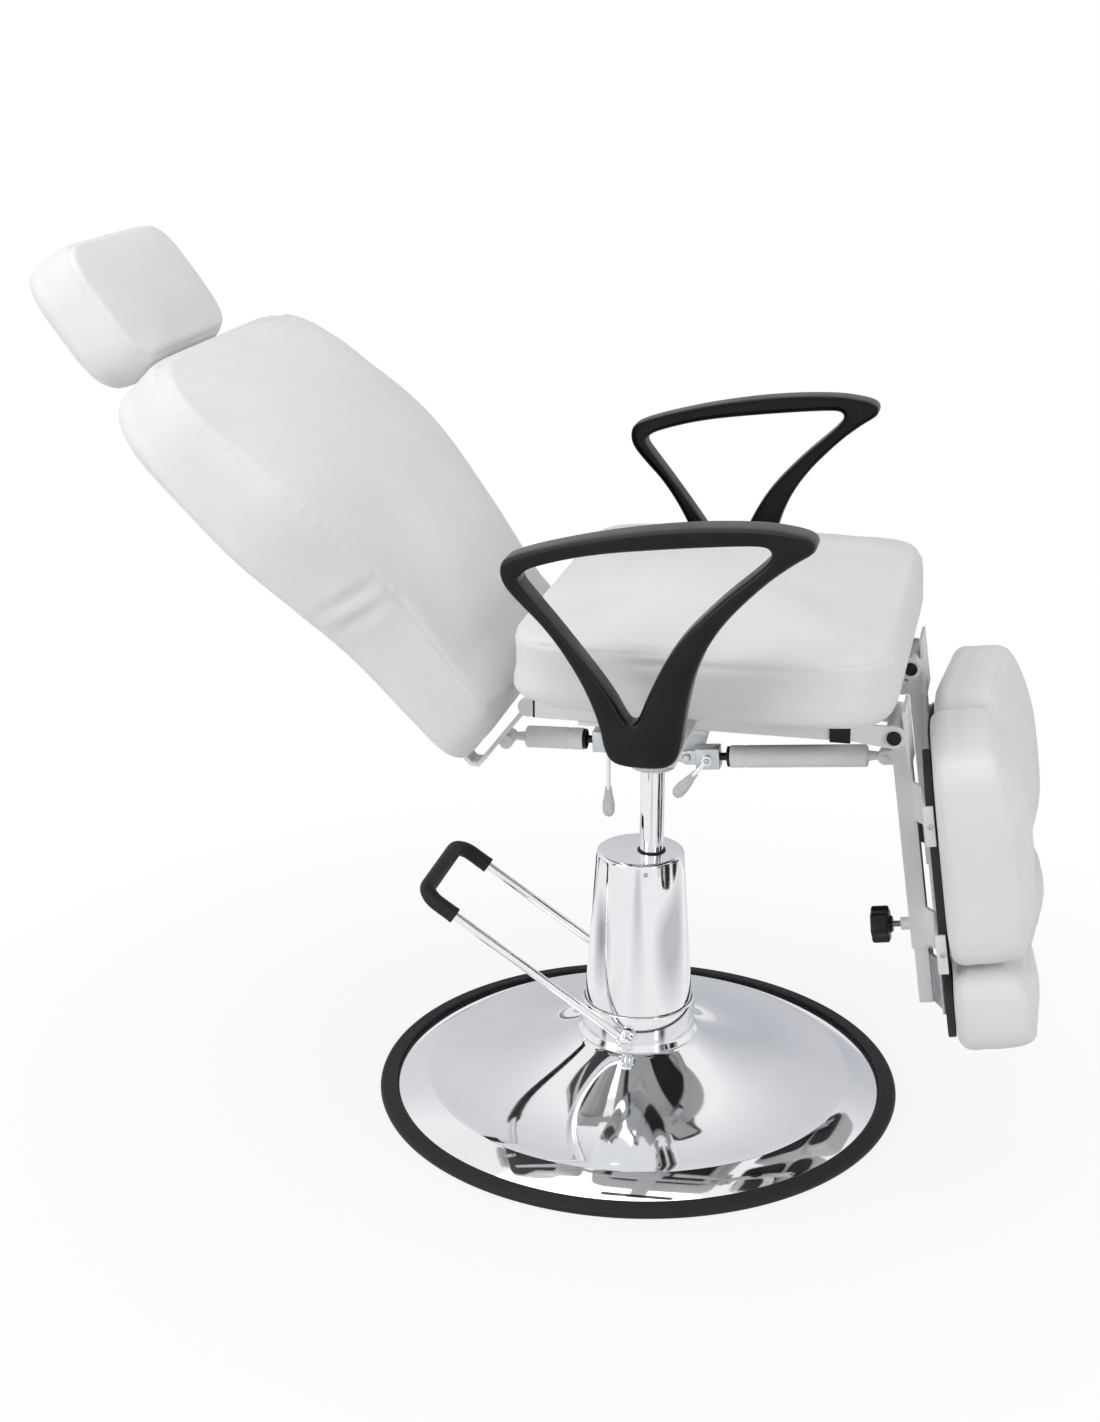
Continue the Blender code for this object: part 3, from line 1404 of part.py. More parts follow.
def make_strut(name, pivot_frame, pivot, turn, lug_frame, lug, lever_side, lever_length, lever_angle, looks):
    """A gas strut between two pivots: rod with release head and lever at one end, cylinder at the other.

    The rod's end of the strut hangs on the pivot frame and the cylinder on the lug frame. They meet inside
    the cylinder, where the rod runs loose in the bore.
    """
    start = pivot_frame.matrix @ Vector(pivot)
    end = lug_frame.matrix @ Vector(lug)
    end.y = start.y
    length = (end - start).length
    lean = -math.asin((end.z - start.z) / length)
    world = Matrix.Translation(start) @ Matrix.Rotation(turn, 4, "Z") @ Matrix.Rotation(lean, 4, "Y")
    frame = Frame(f"{name}_rod_pivot", pivot_frame, pivot_frame.matrix.inverted() @ world)
    eye = STRUT_EYE_WIDTH / 2
    tongue = arc((0, 0), STRUT_EYE_RADIUS, 90, 270, 6)
    overlap = HEAD_BLOCK_START + eye / 2
    tongue = [(overlap, STRUT_EYE_RADIUS)] + tongue + [(overlap, -STRUT_EYE_RADIUS)]
    half = HEAD_BLOCK_WIDTH / 2
    high = HEAD_BLOCK_HEIGHT / 2
    centre = (HEAD_BLOCK_START + HEAD_BLOCK_END) / 2
    pin = lever_side * (half + LEVER_EYE_WIDTH + 4 * FIT)
    solid(
        f"{name}_head",
        frame,
        looks["zinc"],
        block((HEAD_BLOCK_START, -half, -high), (HEAD_BLOCK_END, half, high)),
        joined=(
            plate(tongue, "y", -eye, eye),
            rod((centre, 0, 0), (centre, pin, 0), LEVER_PIN_RADIUS),
        ),
        cut=(rod((0, -half, 0), (0, half, 0), STRUT_PIN_RADIUS + RUNNING),),
    )
    bore_end = length - STRUT_EYE_RADIUS - 2 * STRUT_END_WALL
    rod_end = min(STRUT_MOUTH + STRUT_ROD_REACH, bore_end - STRUT_END_WALL / 3)
    solid(
        f"{name}_rod",
        frame,
        looks["black_steel"],
        rod((HEAD_BLOCK_END + FIT, 0, 0), (rod_end, 0, 0), STRUT_ROD_RADIUS),
    )
    lever = Frame(f"{name}_lever_pivot", frame, moved(x=centre))
    side = lever_side * (half + 2 * FIT + LEVER_EYE_WIDTH / 2)
    away = Vector((math.cos(lever_angle), 0, math.sin(lever_angle)))
    across = Vector((0, side, 0))
    tip = away * lever_length
    grip = away * (lever_length - LEVER_PADDLE_LENGTH)
    root = (LEVER_PIN_RADIUS + LEVER_EYE_RADIUS) / 2
    paddle = bmesh.new()
    wide = LEVER_PADDLE_WIDTH / 2
    sides = 10
    rings = []
    for share, size in ((0.0, 0.45), (0.2, 0.62), (0.5, 0.95), (0.75, 1.0), (0.93, 0.7)):
        middle = grip + (tip - grip) * share + across
        ring = []
        for step in range(sides):
            angle = 2 * math.pi * step / sides
            flat = Vector((-away.z, 0, away.x)) * math.cos(angle) + Vector((0, 0.6, 0)) * math.sin(angle)
            ring.append(middle + flat * wide * size)
        rings.append(ring)
    bridge_rings(paddle, rings, grip + across, tip + across)
    solid(
        f"{name}_lever",
        lever,
        looks["chrome"],
        rod((0, side - LEVER_EYE_WIDTH / 2, 0), (0, side + LEVER_EYE_WIDTH / 2, 0), LEVER_EYE_RADIUS),
        joined=(
            rod(away * root + across, grip + away * wide + across, LEVER_ROD_RADIUS, 10),
            paddle,
        ),
        cut=(
            rod(
                (0, side - LEVER_EYE_WIDTH, 0),
                (0, side + LEVER_EYE_WIDTH, 0),
                LEVER_PIN_RADIUS + RUNNING,
            ),
        ),
    )
    there = world.copy()
    there.translation = end
    tube = Frame(f"{name}_cylinder_pivot", lug_frame, lug_frame.matrix.inverted() @ there)
    mouth = STRUT_MOUTH - length
    shoulder = -STRUT_EYE_RADIUS - STRUT_END_WALL
    tongue = arc((0, 0), STRUT_EYE_RADIUS, -90, 90, 6)
    root = shoulder - STRUT_END_WALL / 2
    tongue = [(root, -STRUT_EYE_RADIUS)] + tongue + [(root, STRUT_EYE_RADIUS)]
    solid(
        f"{name}_cylinder",
        tube,
        looks["white_paint"],
        rod((mouth, 0, 0), (shoulder, 0, 0), STRUT_RADIUS, 24),
        joined=(plate(tongue, "y", -eye, eye),),
        cut=(
            rod(
                (mouth - STRUT_RADIUS, 0, 0),
                (shoulder - STRUT_END_WALL, 0, 0),
                STRUT_RADIUS - STRUT_WALL,
                24,
            ),
            rod((0, -2 * eye, 0), (0, 2 * eye, 0), STRUT_PIN_RADIUS + RUNNING),
        ),
    )


def main():
    clear_scene()
    finishes = {
        "chrome": finish("chrome", (0.80, 0.81, 0.83), 0.08, 1.0),
        "steel": finish("steel", (0.52, 0.53, 0.55), 0.35, 1.0),
        "black_steel": finish("black_steel", (0.03, 0.03, 0.03), 0.30, 0.6),
        "grey_steel": finish("grey_steel", (0.42, 0.43, 0.45), 0.40, 0.9),
        "zinc": finish("zinc", (0.55, 0.58, 0.60), 0.38, 0.9),
        "white_paint": finish("white_paint", (0.86, 0.87, 0.87), 0.35, 0.0),
        "white_leather": finish("white_leather", (0.88, 0.88, 0.87), 0.45, 0.0),
        "black_plastic": finish("black_plastic", (0.022, 0.021, 0.023), 0.42, 0.0),
        "black_board": finish("black_board", (0.025, 0.024, 0.028), 0.60, 0.0),
        "rubber": finish("rubber", (0.035, 0.034, 0.036), 0.65, 0.0),
    }
    base = Frame("base", None, moved())
    make_base(base, finishes)
    make_pedal(base, finishes)
    seat = make_column(base, finishes)
    make_seat_frame(seat, finishes)
    make_seat_cushion(seat, finishes)
    make_arms(seat, finishes)
    back = make_back(seat, finishes)
    make_strut(
        "back_strut",
        seat,
        (BACK_PIVOT_X, -BACK_STRUT_SPACING, -BACK_PIVOT_DROP),
        math.pi,
        back,
        (BACK_LUG_X, -BACK_STRUT_SPACING, BACK_LUG_Z),
        -1,
        BACK_LEVER_LENGTH,
        BACK_LEVER_ANGLE,
        finishes,
    )
    for side, name in ((-1, "right"), (1, "left")):
        leg = make_leg(seat, side, name, finishes)
        make_strut(
            f"leg_strut_{name}",
            seat,
            (LEG_PIVOT_X, side * LEG_SPACING, -LEG_PIVOT_DROP),
            0.0,
            leg,
            (LEG_LUG_X, 0.0, LEG_LUG_Z),
            side,
            LEVER_LENGTH,
            LEVER_ANGLE,
            finishes,
        )


main()
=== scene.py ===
import json
import math

import bmesh
import bpy
from mathutils import Matrix, Vector

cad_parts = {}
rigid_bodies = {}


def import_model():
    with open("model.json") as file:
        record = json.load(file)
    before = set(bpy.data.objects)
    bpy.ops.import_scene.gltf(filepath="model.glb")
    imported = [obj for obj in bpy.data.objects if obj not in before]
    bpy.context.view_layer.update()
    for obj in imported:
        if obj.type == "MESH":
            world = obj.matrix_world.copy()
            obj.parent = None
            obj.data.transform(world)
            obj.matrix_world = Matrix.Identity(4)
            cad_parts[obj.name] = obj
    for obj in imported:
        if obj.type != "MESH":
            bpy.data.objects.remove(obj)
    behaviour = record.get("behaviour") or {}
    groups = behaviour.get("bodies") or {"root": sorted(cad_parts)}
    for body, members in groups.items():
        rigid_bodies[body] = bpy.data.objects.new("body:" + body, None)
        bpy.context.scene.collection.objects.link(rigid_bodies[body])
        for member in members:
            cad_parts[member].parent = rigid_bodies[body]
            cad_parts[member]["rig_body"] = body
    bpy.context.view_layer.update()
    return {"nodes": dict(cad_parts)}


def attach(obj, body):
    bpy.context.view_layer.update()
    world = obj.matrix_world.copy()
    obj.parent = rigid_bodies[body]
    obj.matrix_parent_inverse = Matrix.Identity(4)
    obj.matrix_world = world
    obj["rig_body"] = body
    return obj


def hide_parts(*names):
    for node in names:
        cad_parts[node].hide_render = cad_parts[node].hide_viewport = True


# The chair stands in a plain white studio. The camera looks from the sitter's right and a little downwards.
# Soft panels light it from above and from both sides. Grey and black cards that only reflections see give
# the chrome its streaks.
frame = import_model()
nodes = frame["nodes"]
scene = bpy.context.scene
scene.view_settings.view_transform = "Standard"
bpy.ops.object.select_all(action="DESELECT")

bpy.ops.object.camera_add(location=(0.4870, -2.6287, 1.4635))
camera = bpy.context.object
camera.name = "studio_camera"
camera.rotation_euler = (math.radians(90.0 - 19.005), 0.0, math.radians(13.088))
camera.data.sensor_width = 36.0
camera.data.lens = 54.716
scene.camera = camera


class Wire:
    """A node socket of a finish. Arithmetic on it adds Math nodes, and node() adds any other kind."""

    def __init__(self, tree, socket):
        self.tree = tree
        self.socket = socket

    def node(self, kind, settings, inputs, output=0):
        made = self.tree.nodes.new(kind)
        for name, value in settings.items():
            if name == "stops":
                ramp = made.color_ramp.elements
                for number, (place, colour) in enumerate(value):
                    stop = ramp[number] if number < 2 else ramp.new(place)
                    stop.position = place
                    stop.color = (*colour, 1.0)
            else:
                setattr(made, name, value)
        for name, value in inputs.items():
            if isinstance(value, Wire):
                self.tree.links.new(value.socket, made.inputs[name])
            else:
                made.inputs[name].default_value = value
        return Wire(self.tree, made.outputs[output])

    def math(self, operation, first, second):
        return self.node("ShaderNodeMath", {"operation": operation}, {0: first, 1: second})

    def __add__(self, other):
        return self.math("ADD", self, other)

    def __radd__(self, other):
        return self.math("ADD", other, self)

    def __sub__(self, other):
        return self.math("SUBTRACT", self, other)

    def __rsub__(self, other):
        return self.math("SUBTRACT", other, self)

    def __mul__(self, other):
        return self.math("MULTIPLY", self, other)

    def __rmul__(self, other):
        return self.math("MULTIPLY", other, self)

    def noise(self, scale, detail=3.0):
        inputs = {"Vector": self, "Scale": scale, "Detail": detail, "Roughness": 0.55}
        return self.node("ShaderNodeTexNoise", {}, inputs)

    def between(self, low, high):
        """The value stretched so that low gives 0 and high gives 1."""
        limits = {"Value": self, "From Min": low, "From Max": high}
        return self.node("ShaderNodeMapRange", {"clamp": True}, limits)

    def tint(self, dark, light):
        """A colour from dark at 0 to light at 1."""
        stops = [(0.0, dark), (1.0, light)]
        return self.node("ShaderNodeValToRGB", {"stops": stops}, {"Fac": self})

    def bump(self, strength, distance):
        inputs = {"Height": self, "Strength": strength, "Distance": distance}
        return self.node("ShaderNodeBump", {}, inputs)


def new_finish(name, metallic, **steady):
    """A material with its plain sockets set, returned with its place on the piece and a linker."""
    material = bpy.data.materials.new(name)
    material.use_nodes = True
    tree = material.node_tree
    shader = tree.nodes["Principled BSDF"]
    shader.inputs["Metallic"].default_value = metallic
    for socket, value in steady.items():
        shader.inputs[socket.replace("_", " ")].default_value = value
    place = Wire(tree, tree.nodes.new("ShaderNodeTexCoord").outputs["Object"])

    def drive(**varied):
        for socket, wire in varied.items():
            tree.links.new(wire.socket, shader.inputs[socket.replace("_", " ")])

    return material, place, drive


def in_sight(tree):
    """1 for what the camera sees, itself or in metal or glass, and 0 for light on its way to the chair."""
    rays = tree.nodes.new("ShaderNodeLightPath").outputs
    seen = Wire(tree, rays["Is Camera Ray"]) + Wire(tree, rays["Is Glossy Ray"])
    seen = seen + Wire(tree, rays["Is Transmission Ray"])
    return seen.math("MINIMUM", seen, 1.0)


def studio_white(name, surface, shine, fade_from, fade_to):
    """White where the camera or a reflection sees it, and an ordinary surface for the light on it.

    Shadows show near the chair and fade out between the two distances.
    """
    material = bpy.data.materials.new(name)
    material.use_nodes = True
    tree = material.node_tree
    tree.nodes.clear()
    seen = in_sight(tree)
    diffuse = seen.node("ShaderNodeBsdfDiffuse", {}, {"Color": (surface, surface, surface, 1.0)})
    glow = seen.node("ShaderNodeEmission", {}, {"Color": (1.0, 1.0, 1.0, 1.0), "Strength": 1.0})
    place = Wire(tree, tree.nodes.new("ShaderNodeTexCoord").outputs["Object"])
    away = place.node("ShaderNodeVectorMath", {"operation": "LENGTH"}, {0: place}, "Value")
    white = shine + (1.0 - shine) * away.between(fade_from, fade_to)
    mixed = seen.node("ShaderNodeMixShader", {}, {0: seen * white, 1: diffuse, 2: glow})
    output = tree.nodes.new("ShaderNodeOutputMaterial")
    tree.links.new(mixed.socket, output.inputs["Surface"])
    return material


bpy.ops.mesh.primitive_plane_add(size=14.0, location=(0.0, 0.0, -0.0005))
floor = bpy.context.object
floor.name = "studio_floor"
floor.data.materials.append(studio_white("studio_floor_white", 0.70, 0.87, 0.35, 1.15))

world = bpy.data.worlds.new("studio")
world.use_nodes = True
scene.world = world
sky = world.node_tree
backdrop = sky.nodes["Background"]
level = 0.42 + 0.58 * in_sight(sky)
backdrop.inputs["Color"].default_value = (1.0, 1.0, 1.0, 1.0)
sky.links.new(level.socket, backdrop.inputs["Strength"])


def soft_panel(name, place, target, width, height, power):
    """A lamp as large as a studio's soft box, turned to a target."""
    bpy.ops.object.light_add(type="AREA", location=place)
    lamp = bpy.context.object
    lamp.name = name
    lamp.data.shape = "RECTANGLE"
    lamp.data.size = width
    lamp.data.size_y = height
    lamp.data.energy = power
    lamp.rotation_euler = (Vector(target) - Vector(place)).to_track_quat("-Z", "Y").to_euler()


soft_panel("panel_above", (-0.5, -0.5, 3.1), (-0.1, 0.0, 0.6), 2.6, 2.2, 26.0)
soft_panel("panel_left", (-2.0, -2.1, 1.6), (-0.3, 0.0, 0.7), 1.4, 1.6, 29.0)
soft_panel("panel_front", (2.4, -1.6, 1.4), (0.2, 0.0, 0.5), 1.2, 1.6, 20.0)


def reflector(name, place, lean, turn, width, height, tone, spread):
    """An oval card that only reflections see. Lean 90 stands it up, and lean 0 lays it on the floor.

    Its tone fades to white over the spread, which is a share of the card from its edge inwards.
    """
    bpy.ops.mesh.primitive_plane_add(size=1.0, location=place)
    card = bpy.context.object
    card.name = name
    card.rotation_euler = (math.radians(lean), 0.0, math.radians(turn))
    card.scale = (width, height, 1.0)
    paint, spot, drive = new_finish(
        name, 0.0, Base_Color=(0.0, 0.0, 0.0, 1.0), Specular_IOR_Level=0.0, Emission_Strength=1.0
    )
    away = spot.node("ShaderNodeVectorMath", {"operation": "LENGTH"}, {0: spot}, "Value")
    fade = (2.0 * away).between(1.0 - spread, 1.0)
    drive(Emission_Color=fade.tint(tone, (1.0, 1.0, 1.0)))
    card.data.materials.append(paint)
    card.visible_camera = False
    card.visible_diffuse = False
    card.visible_shadow = False


reflector("card_rear", (0.3, 2.3, 0.4), 90.0, 10.0, 9.0, 5.6, (0.56, 0.57, 0.61), 0.92)
reflector("card_floor_left", (-0.78, -0.10, 0.002), 0.0, 0.0, 0.72, 0.90, (0.40, 0.40, 0.43), 0.85)
reflector("card_floor_rear", (-0.50, 0.72, 0.002), 0.0, 35.0, 0.50, 0.60, (0.03, 0.03, 0.04), 0.6)
reflector("card_floor_right", (0.84, 0.00, 0.002), 0.0, 0.0, 0.96, 1.70, (0.60, 0.60, 0.63), 0.6)
reflector("card_floor_front", (0.16, -1.60, 0.002), 0.0, 4.0, 0.70, 2.50, (0.70, 0.70, 0.73), 0.75)
reflector("card_floor_back", (0.10, 1.45, 0.001), 0.0, 0.0, 4.6, 2.7, (0.54, 0.55, 0.59), 0.9)
reflector("card_right_tall", (1.5, -0.9, 0.7), 90.0, 60.0, 0.60, 1.8, (0.06, 0.06, 0.07), 0.8)
reflector("card_left_tall", (-1.7, -1.0, 0.7), 90.0, -60.0, 0.60, 1.8, (0.06, 0.06, 0.07), 0.8)


# The base is a heavy steel plate with a rubber rim round it. A spun steel dish, chromed, sits inside the
# rim and hides the plate. Its sloping outer band turns up into a bell that ends under the pump's collar.
def rounded(corners, steps=5):
    """A path through (x, y) or (x, y, radius) corners, with an arc where an inner corner has a radius."""
    path = []
    last = len(corners) - 1
    for index, corner in enumerate(corners):
        here = Vector(corner[:2])
        if len(corner) < 3 or index in (0, last):
            path.append(tuple(here))
            continue
        before = Vector(corners[index - 1][:2]) - here
        after = Vector(corners[index + 1][:2]) - here
        half = before.angle(after) / 2
        reach = min(corner[2] / math.tan(half), 0.48 * before.length, 0.48 * after.length)
        radius = reach * math.tan(half)
        inward = (before.normalized() + after.normalized()).normalized()
        middle = here + inward * radius / math.sin(half)
        start = here + before.normalized() * reach - middle
        swing = start.angle_signed(here + after.normalized() * reach - middle)
        for step in range(steps + 1):
            angle = -swing * step / steps
            turned_start = Matrix.Rotation(angle, 2) @ start
            path.append(tuple(middle + turned_start))
    return path


def active(piece):
    """Selects this piece alone and makes it the one that operators act on."""
    bpy.ops.object.select_all(action="DESELECT")
    piece.select_set(True)
    bpy.context.view_layer.objects.active = piece


def settle(piece, name, look, body, smooth=38.0):
    """Applies a piece's place, shades it, and fixes it to the body that carries it."""
    active(piece)
    bpy.ops.object.transform_apply(location=True, rotation=True, scale=True)
    bpy.ops.object.shade_smooth_by_angle(angle=math.radians(smooth))
    piece.name = name
    piece.data.name = name
    piece.data.materials.clear()
    piece.data.materials.append(look)
    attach(piece, body)


def turned(profile, steps=96, closed=True):
    """A shape turned about Z from (radius, height) points. Closed joins the last point to the first."""
    bpy.ops.object.select_all(action="DESELECT")
    bpy.ops.mesh.primitive_plane_add(size=0.001)
    piece = bpy.context.object
    bpy.ops.object.mode_set(mode="EDIT")
    bpy.ops.mesh.select_all(action="SELECT")
    bpy.ops.mesh.merge(type="CENTER")
    here = Vector((0.0, 0.0))
    path = list(profile) + ([profile[0]] if closed else [])
    for number, point in enumerate(path):
        step = Vector(point) - here
        here = Vector(point)
        move = (step.x, 0.0, step.y)
        if number:
            bpy.ops.mesh.extrude_region_move(TRANSFORM_OT_translate={"value": move})
        else:
            bpy.ops.transform.translate(value=move)
    bpy.ops.mesh.select_all(action="SELECT")
    bpy.ops.mesh.spin(steps=steps, angle=2 * math.pi, center=(0, 0, 0), axis=(0, 0, 1))
    bpy.ops.mesh.select_all(action="SELECT")
    bpy.ops.mesh.remove_doubles(threshold=0.00002)
    bpy.ops.mesh.normals_make_consistent(inside=False)
    bpy.ops.object.mode_set(mode="OBJECT")
    return piece


def standing(piece, foot, towards):
    """Moves a turned shape so that its Z axis starts at foot and points to towards."""
    along = Vector(towards) - Vector(foot)
    piece.matrix_world = Matrix.Translation(foot) @ along.to_track_quat("Z", "Y").to_matrix().to_4x4()
    return piece


plain_steel, place, drive = new_finish("plain_steel", 1.0)
streaks = place.noise(140.0)
drive(Base_Color=streaks.tint((0.40, 0.41, 0.43), (0.56, 0.57, 0.59)), Roughness=0.30 + 0.2 * streaks)
for hidden_node in ("floor_plate", "pump_body"):
    nodes[hidden_node].data.materials.clear()
    nodes[hidden_node].data.materials.append(plain_steel)

rim_rubber, place, drive = new_finish("rim_rubber", 0.0, Specular_IOR_Level=0.22)
bloom = place.noise(38.0, 4.0)
speckle = place.noise(900.0, 2.0)
drive(
    Base_Color=bloom.tint((0.011, 0.010, 0.012), (0.026, 0.024, 0.027)),
    Roughness=0.46 + 0.22 * bloom,
    Normal=speckle.bump(0.25, 0.0004),
)
rim_section = [(0.3187, 0.0), (0.3187, 0.0082), (0.3316, 0.0082)]
rim_section += [(0.3317, 0.0134, 0.0015), (0.3333, 0.0151, 0.001)]
for groove in range(5):
    inner = 0.3358 + 0.0031 * groove
    height = 0.0151 - 0.0006 * groove
    rim_section += [(inner, height, 0.0005), (inner + 0.0007, height - 0.0010, 0.0004)]
    rim_section += [(inner + 0.0014, height - 0.0002, 0.0005)]
rim_section += [(0.3536, 0.0112, 0.004), (0.3551, 0.0072, 0.003), (0.3530, 0.0018, 0.003), (0.3480, 0.0)]
rim = turned(rounded(rim_section, steps=3), steps=160)
settle(rim, "base_rim", rim_rubber, "base")
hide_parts("base_trim")

bright_chrome, place, drive = new_finish("bright_chrome", 1.0)
smudge = place.noise(9.0, 4.0).between(0.35, 0.75)
drive(
    Base_Color=smudge.tint((0.80, 0.81, 0.83), (0.86, 0.87, 0.88)),
    Roughness=0.035 + 0.035 * smudge,
)
BELL_FOOT = (0.2867, 0.0300)
BELL_TOP = (0.0818, 0.0852)
BELL_RINGS = 32
DISH_SHEET = 0.0018
bell = [(0.3316, 0.0111), (0.3300, 0.0127), (0.2890, 0.0295, 0.006)]
for step in range(1, BELL_RINGS + 1):
    share = step / BELL_RINGS
    radius = BELL_FOOT[0] - (BELL_FOOT[0] - BELL_TOP[0]) * share
    height = BELL_FOOT[1] + (BELL_TOP[1] - BELL_FOOT[1]) * share**2.3
    bell.append((radius, height))
bell.append((0.0610, BELL_TOP[1]))
upper = rounded(bell)
lower = [(radius, height - DISH_SHEET) for radius, height in upper]
dish = turned(upper + lower[::-1], steps=192)
settle(dish, "chrome_dish", bright_chrome, "base", 50.0)
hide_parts("base_dish")

# The pump stands on the plate inside a tapered chrome cover. A flared collar grips the cover's foot, and a
# rubber seal lies on its top where the piston comes out. One small screw holds the cover near its top edge.
cover = turned(
    rounded(
        [
            (0.0, 0.3490),
            (0.0584, 0.3490, 0.0055),
            (0.0733, 0.1290, 0.02),
            (0.0735, 0.0854),
            (0.0715, 0.0854),
            (0.0713, 0.1290),
            (0.0562, 0.3470),
            (0.0, 0.3470),
        ],
        steps=7,
    ),
    steps=128,
    closed=False,
)
settle(cover, "pump_cover_chrome", bright_chrome, "base", 50.0)
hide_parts("pump_cover")
collar = turned(
    rounded(
        [
            (0.0738, 0.0854),
            (0.0812, 0.0854, 0.0006),
            (0.0812, 0.0872, 0.0008),
            (0.0768, 0.0945, 0.006),
            (0.0768, 0.1350, 0.0014),
            (0.0738, 0.1352, 0.0006),
        ]
    ),
    steps=128,
)
settle(collar, "pump_collar_chrome", bright_chrome, "base", 50.0)
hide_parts("pump_collar")
COLUMN_PLACE = (0.015, 0.0, 0.0)
seal_section = [(0.0163, 0.3487), (0.0190, 0.3487), (0.0190, 0.3508, 0.0008), (0.0163, 0.3508, 0.0006)]
seal = turned(rounded(seal_section))
seal.location = COLUMN_PLACE
settle(seal, "rod_seal", rim_rubber, "base")


def pan_screw(name, foot, towards, radius, look, body):
    """A pan-head screw with a sunk drive hole, standing on foot and pointing to towards."""
    height = 0.55 * radius
    sunk = 0.25 * height
    dome = [(0.0, -sunk), (radius, -sunk), (radius, height, 0.7 * height), (0.5 * radius, height)]
    drive_hole = [(0.46 * radius, 0.35 * height), (0.0, 0.35 * height)]
    head = turned(rounded(dome) + drive_hole, steps=24, closed=False)
    standing(head, foot, towards)
    settle(head, name, look, body)


facing = Vector((0.30, -0.954, 0.0))
screw_foot = facing * 0.0592 + Vector((0.0, 0.0, 0.336))
pan_screw("cover_screw", screw_foot, screw_foot + facing, 0.0032, plain_steel, "base")

# The foot pedal is a chromed rod bent to a U. Its two eyes sit on a shaft that turns in the collar, held by
# domed caps, and a rubber sleeve covers the far end of the U.
PEDAL_HEIGHT = 0.108
PEDAL_HALF_WIDTH = 0.0878
PEDAL_PLACE = Matrix.Translation((0.0, 0.0, PEDAL_HEIGHT)) @ Matrix.Rotation(math.radians(34.0), 4, "Y")


def bent_bar(points, radius, sides):
    """A round bar along a line of points, with flat ends."""
    bpy.ops.object.select_all(action="DESELECT")
    bpy.ops.curve.primitive_nurbs_path_add()
    piece = bpy.context.object
    piece.data.splines.clear()
    line = piece.data.splines.new("POLY")
    line.points.add(len(points) - 1)
    for spot, point in zip(line.points, points):
        spot.co = (*point, 1.0)
    piece.location = (0.0, 0.0, 0.0)
    piece.data.dimensions = "3D"
    piece.data.twist_mode = "MINIMUM"
    piece.data.bevel_depth = radius
    piece.data.bevel_resolution = sides
    piece.data.use_fill_caps = True
    active(piece)
    bpy.ops.object.convert(target="MESH")
    piece = bpy.context.object
    bpy.ops.object.mode_set(mode="EDIT")
    bpy.ops.mesh.select_all(action="SELECT")
    bpy.ops.mesh.remove_doubles(threshold=0.00001)
    bpy.ops.mesh.normals_make_consistent(inside=False)
    bpy.ops.object.mode_set(mode="OBJECT")
    return piece


def pedal_line(start):
    """The U from the near eye round the end to the far eye, from a distance along each side."""
    half = PEDAL_HALF_WIDTH
    corners = [(-start, -half), (-0.334, -half, 0.026), (-0.334, half, 0.026), (-start, half)]
    return [PEDAL_PLACE @ Vector((x, y, 0.0)) for x, y in rounded(corners, steps=12)]


def joined(first, *others):
    """One piece from several shapes."""
    active(first)
    for other in others:
        other.select_set(True)
    bpy.ops.object.join()
    return bpy.context.object


eyes = []
for side in (-1, 1):
    eye_section = [(0.0074, -0.007), (0.0125, -0.007, 0.0016), (0.0125, 0.007, 0.0016), (0.0074, 0.007)]
    eye = turned(rounded(eye_section, steps=4), steps=48)
    eyes.append(standing(eye, (0.0, side * PEDAL_HALF_WIDTH, PEDAL_HEIGHT), (0.0, side, PEDAL_HEIGHT)))
bar = joined(bent_bar(pedal_line(0.0095), 0.006, 7), *eyes)
settle(bar, "pedal_bar_chrome", bright_chrome, "pedal", 50.0)
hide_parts("pedal_bar")
shaft = turned(
    rounded(
        [
            (0.0, -0.1008),
            (0.0088, -0.0998, 0.004),
            (0.0098, -0.0952, 0.0008),
            (0.0070, -0.0950),
            (0.0070, 0.0950),
            (0.0098, 0.0952, 0.0008),
            (0.0088, 0.0998, 0.004),
            (0.0, 0.1008),
        ]
    ),
    steps=40,
    closed=False,
)
standing(shaft, (0.0, 0.0, PEDAL_HEIGHT), (0.0, 1.0, PEDAL_HEIGHT))
settle(shaft, "pedal_shaft_capped", bright_chrome, "pedal")
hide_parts("pedal_shaft")
sleeve = bent_bar(pedal_line(0.283), 0.0108, 7)
beads = []
for side in (-1, 1):
    bead_section = [(0.0062, 0.0), (0.0112, 0.0, 0.0018), (0.0112, 0.0055, 0.0018), (0.0062, 0.0055)]
    bead = turned(rounded(bead_section, steps=4), steps=40)
    low = PEDAL_PLACE @ Vector((-0.2815, side * PEDAL_HALF_WIDTH, 0.0))
    high = PEDAL_PLACE @ Vector((-0.3, side * PEDAL_HALF_WIDTH, 0.0))
    beads.append(standing(bead, low, high))
sleeve = joined(sleeve, *beads)
settle(sleeve, "pedal_sleeve", rim_rubber, "pedal", 50.0)
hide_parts("pedal_grip")

# The piston is a polished steel rod. It rises out of the pump and carries the seat on the swivel hub, a
# white painted socket under the seat's carrier.
piston_section = [(0.0, 0.2395), (0.016, 0.2395), (0.016, 0.5510, 0.002), (0.0, 0.5510)]
piston = turned(rounded(piston_section), steps=64, closed=False)
piston.location = COLUMN_PLACE
settle(piston, "piston_polished", bright_chrome, "lift")
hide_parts("piston_rod")

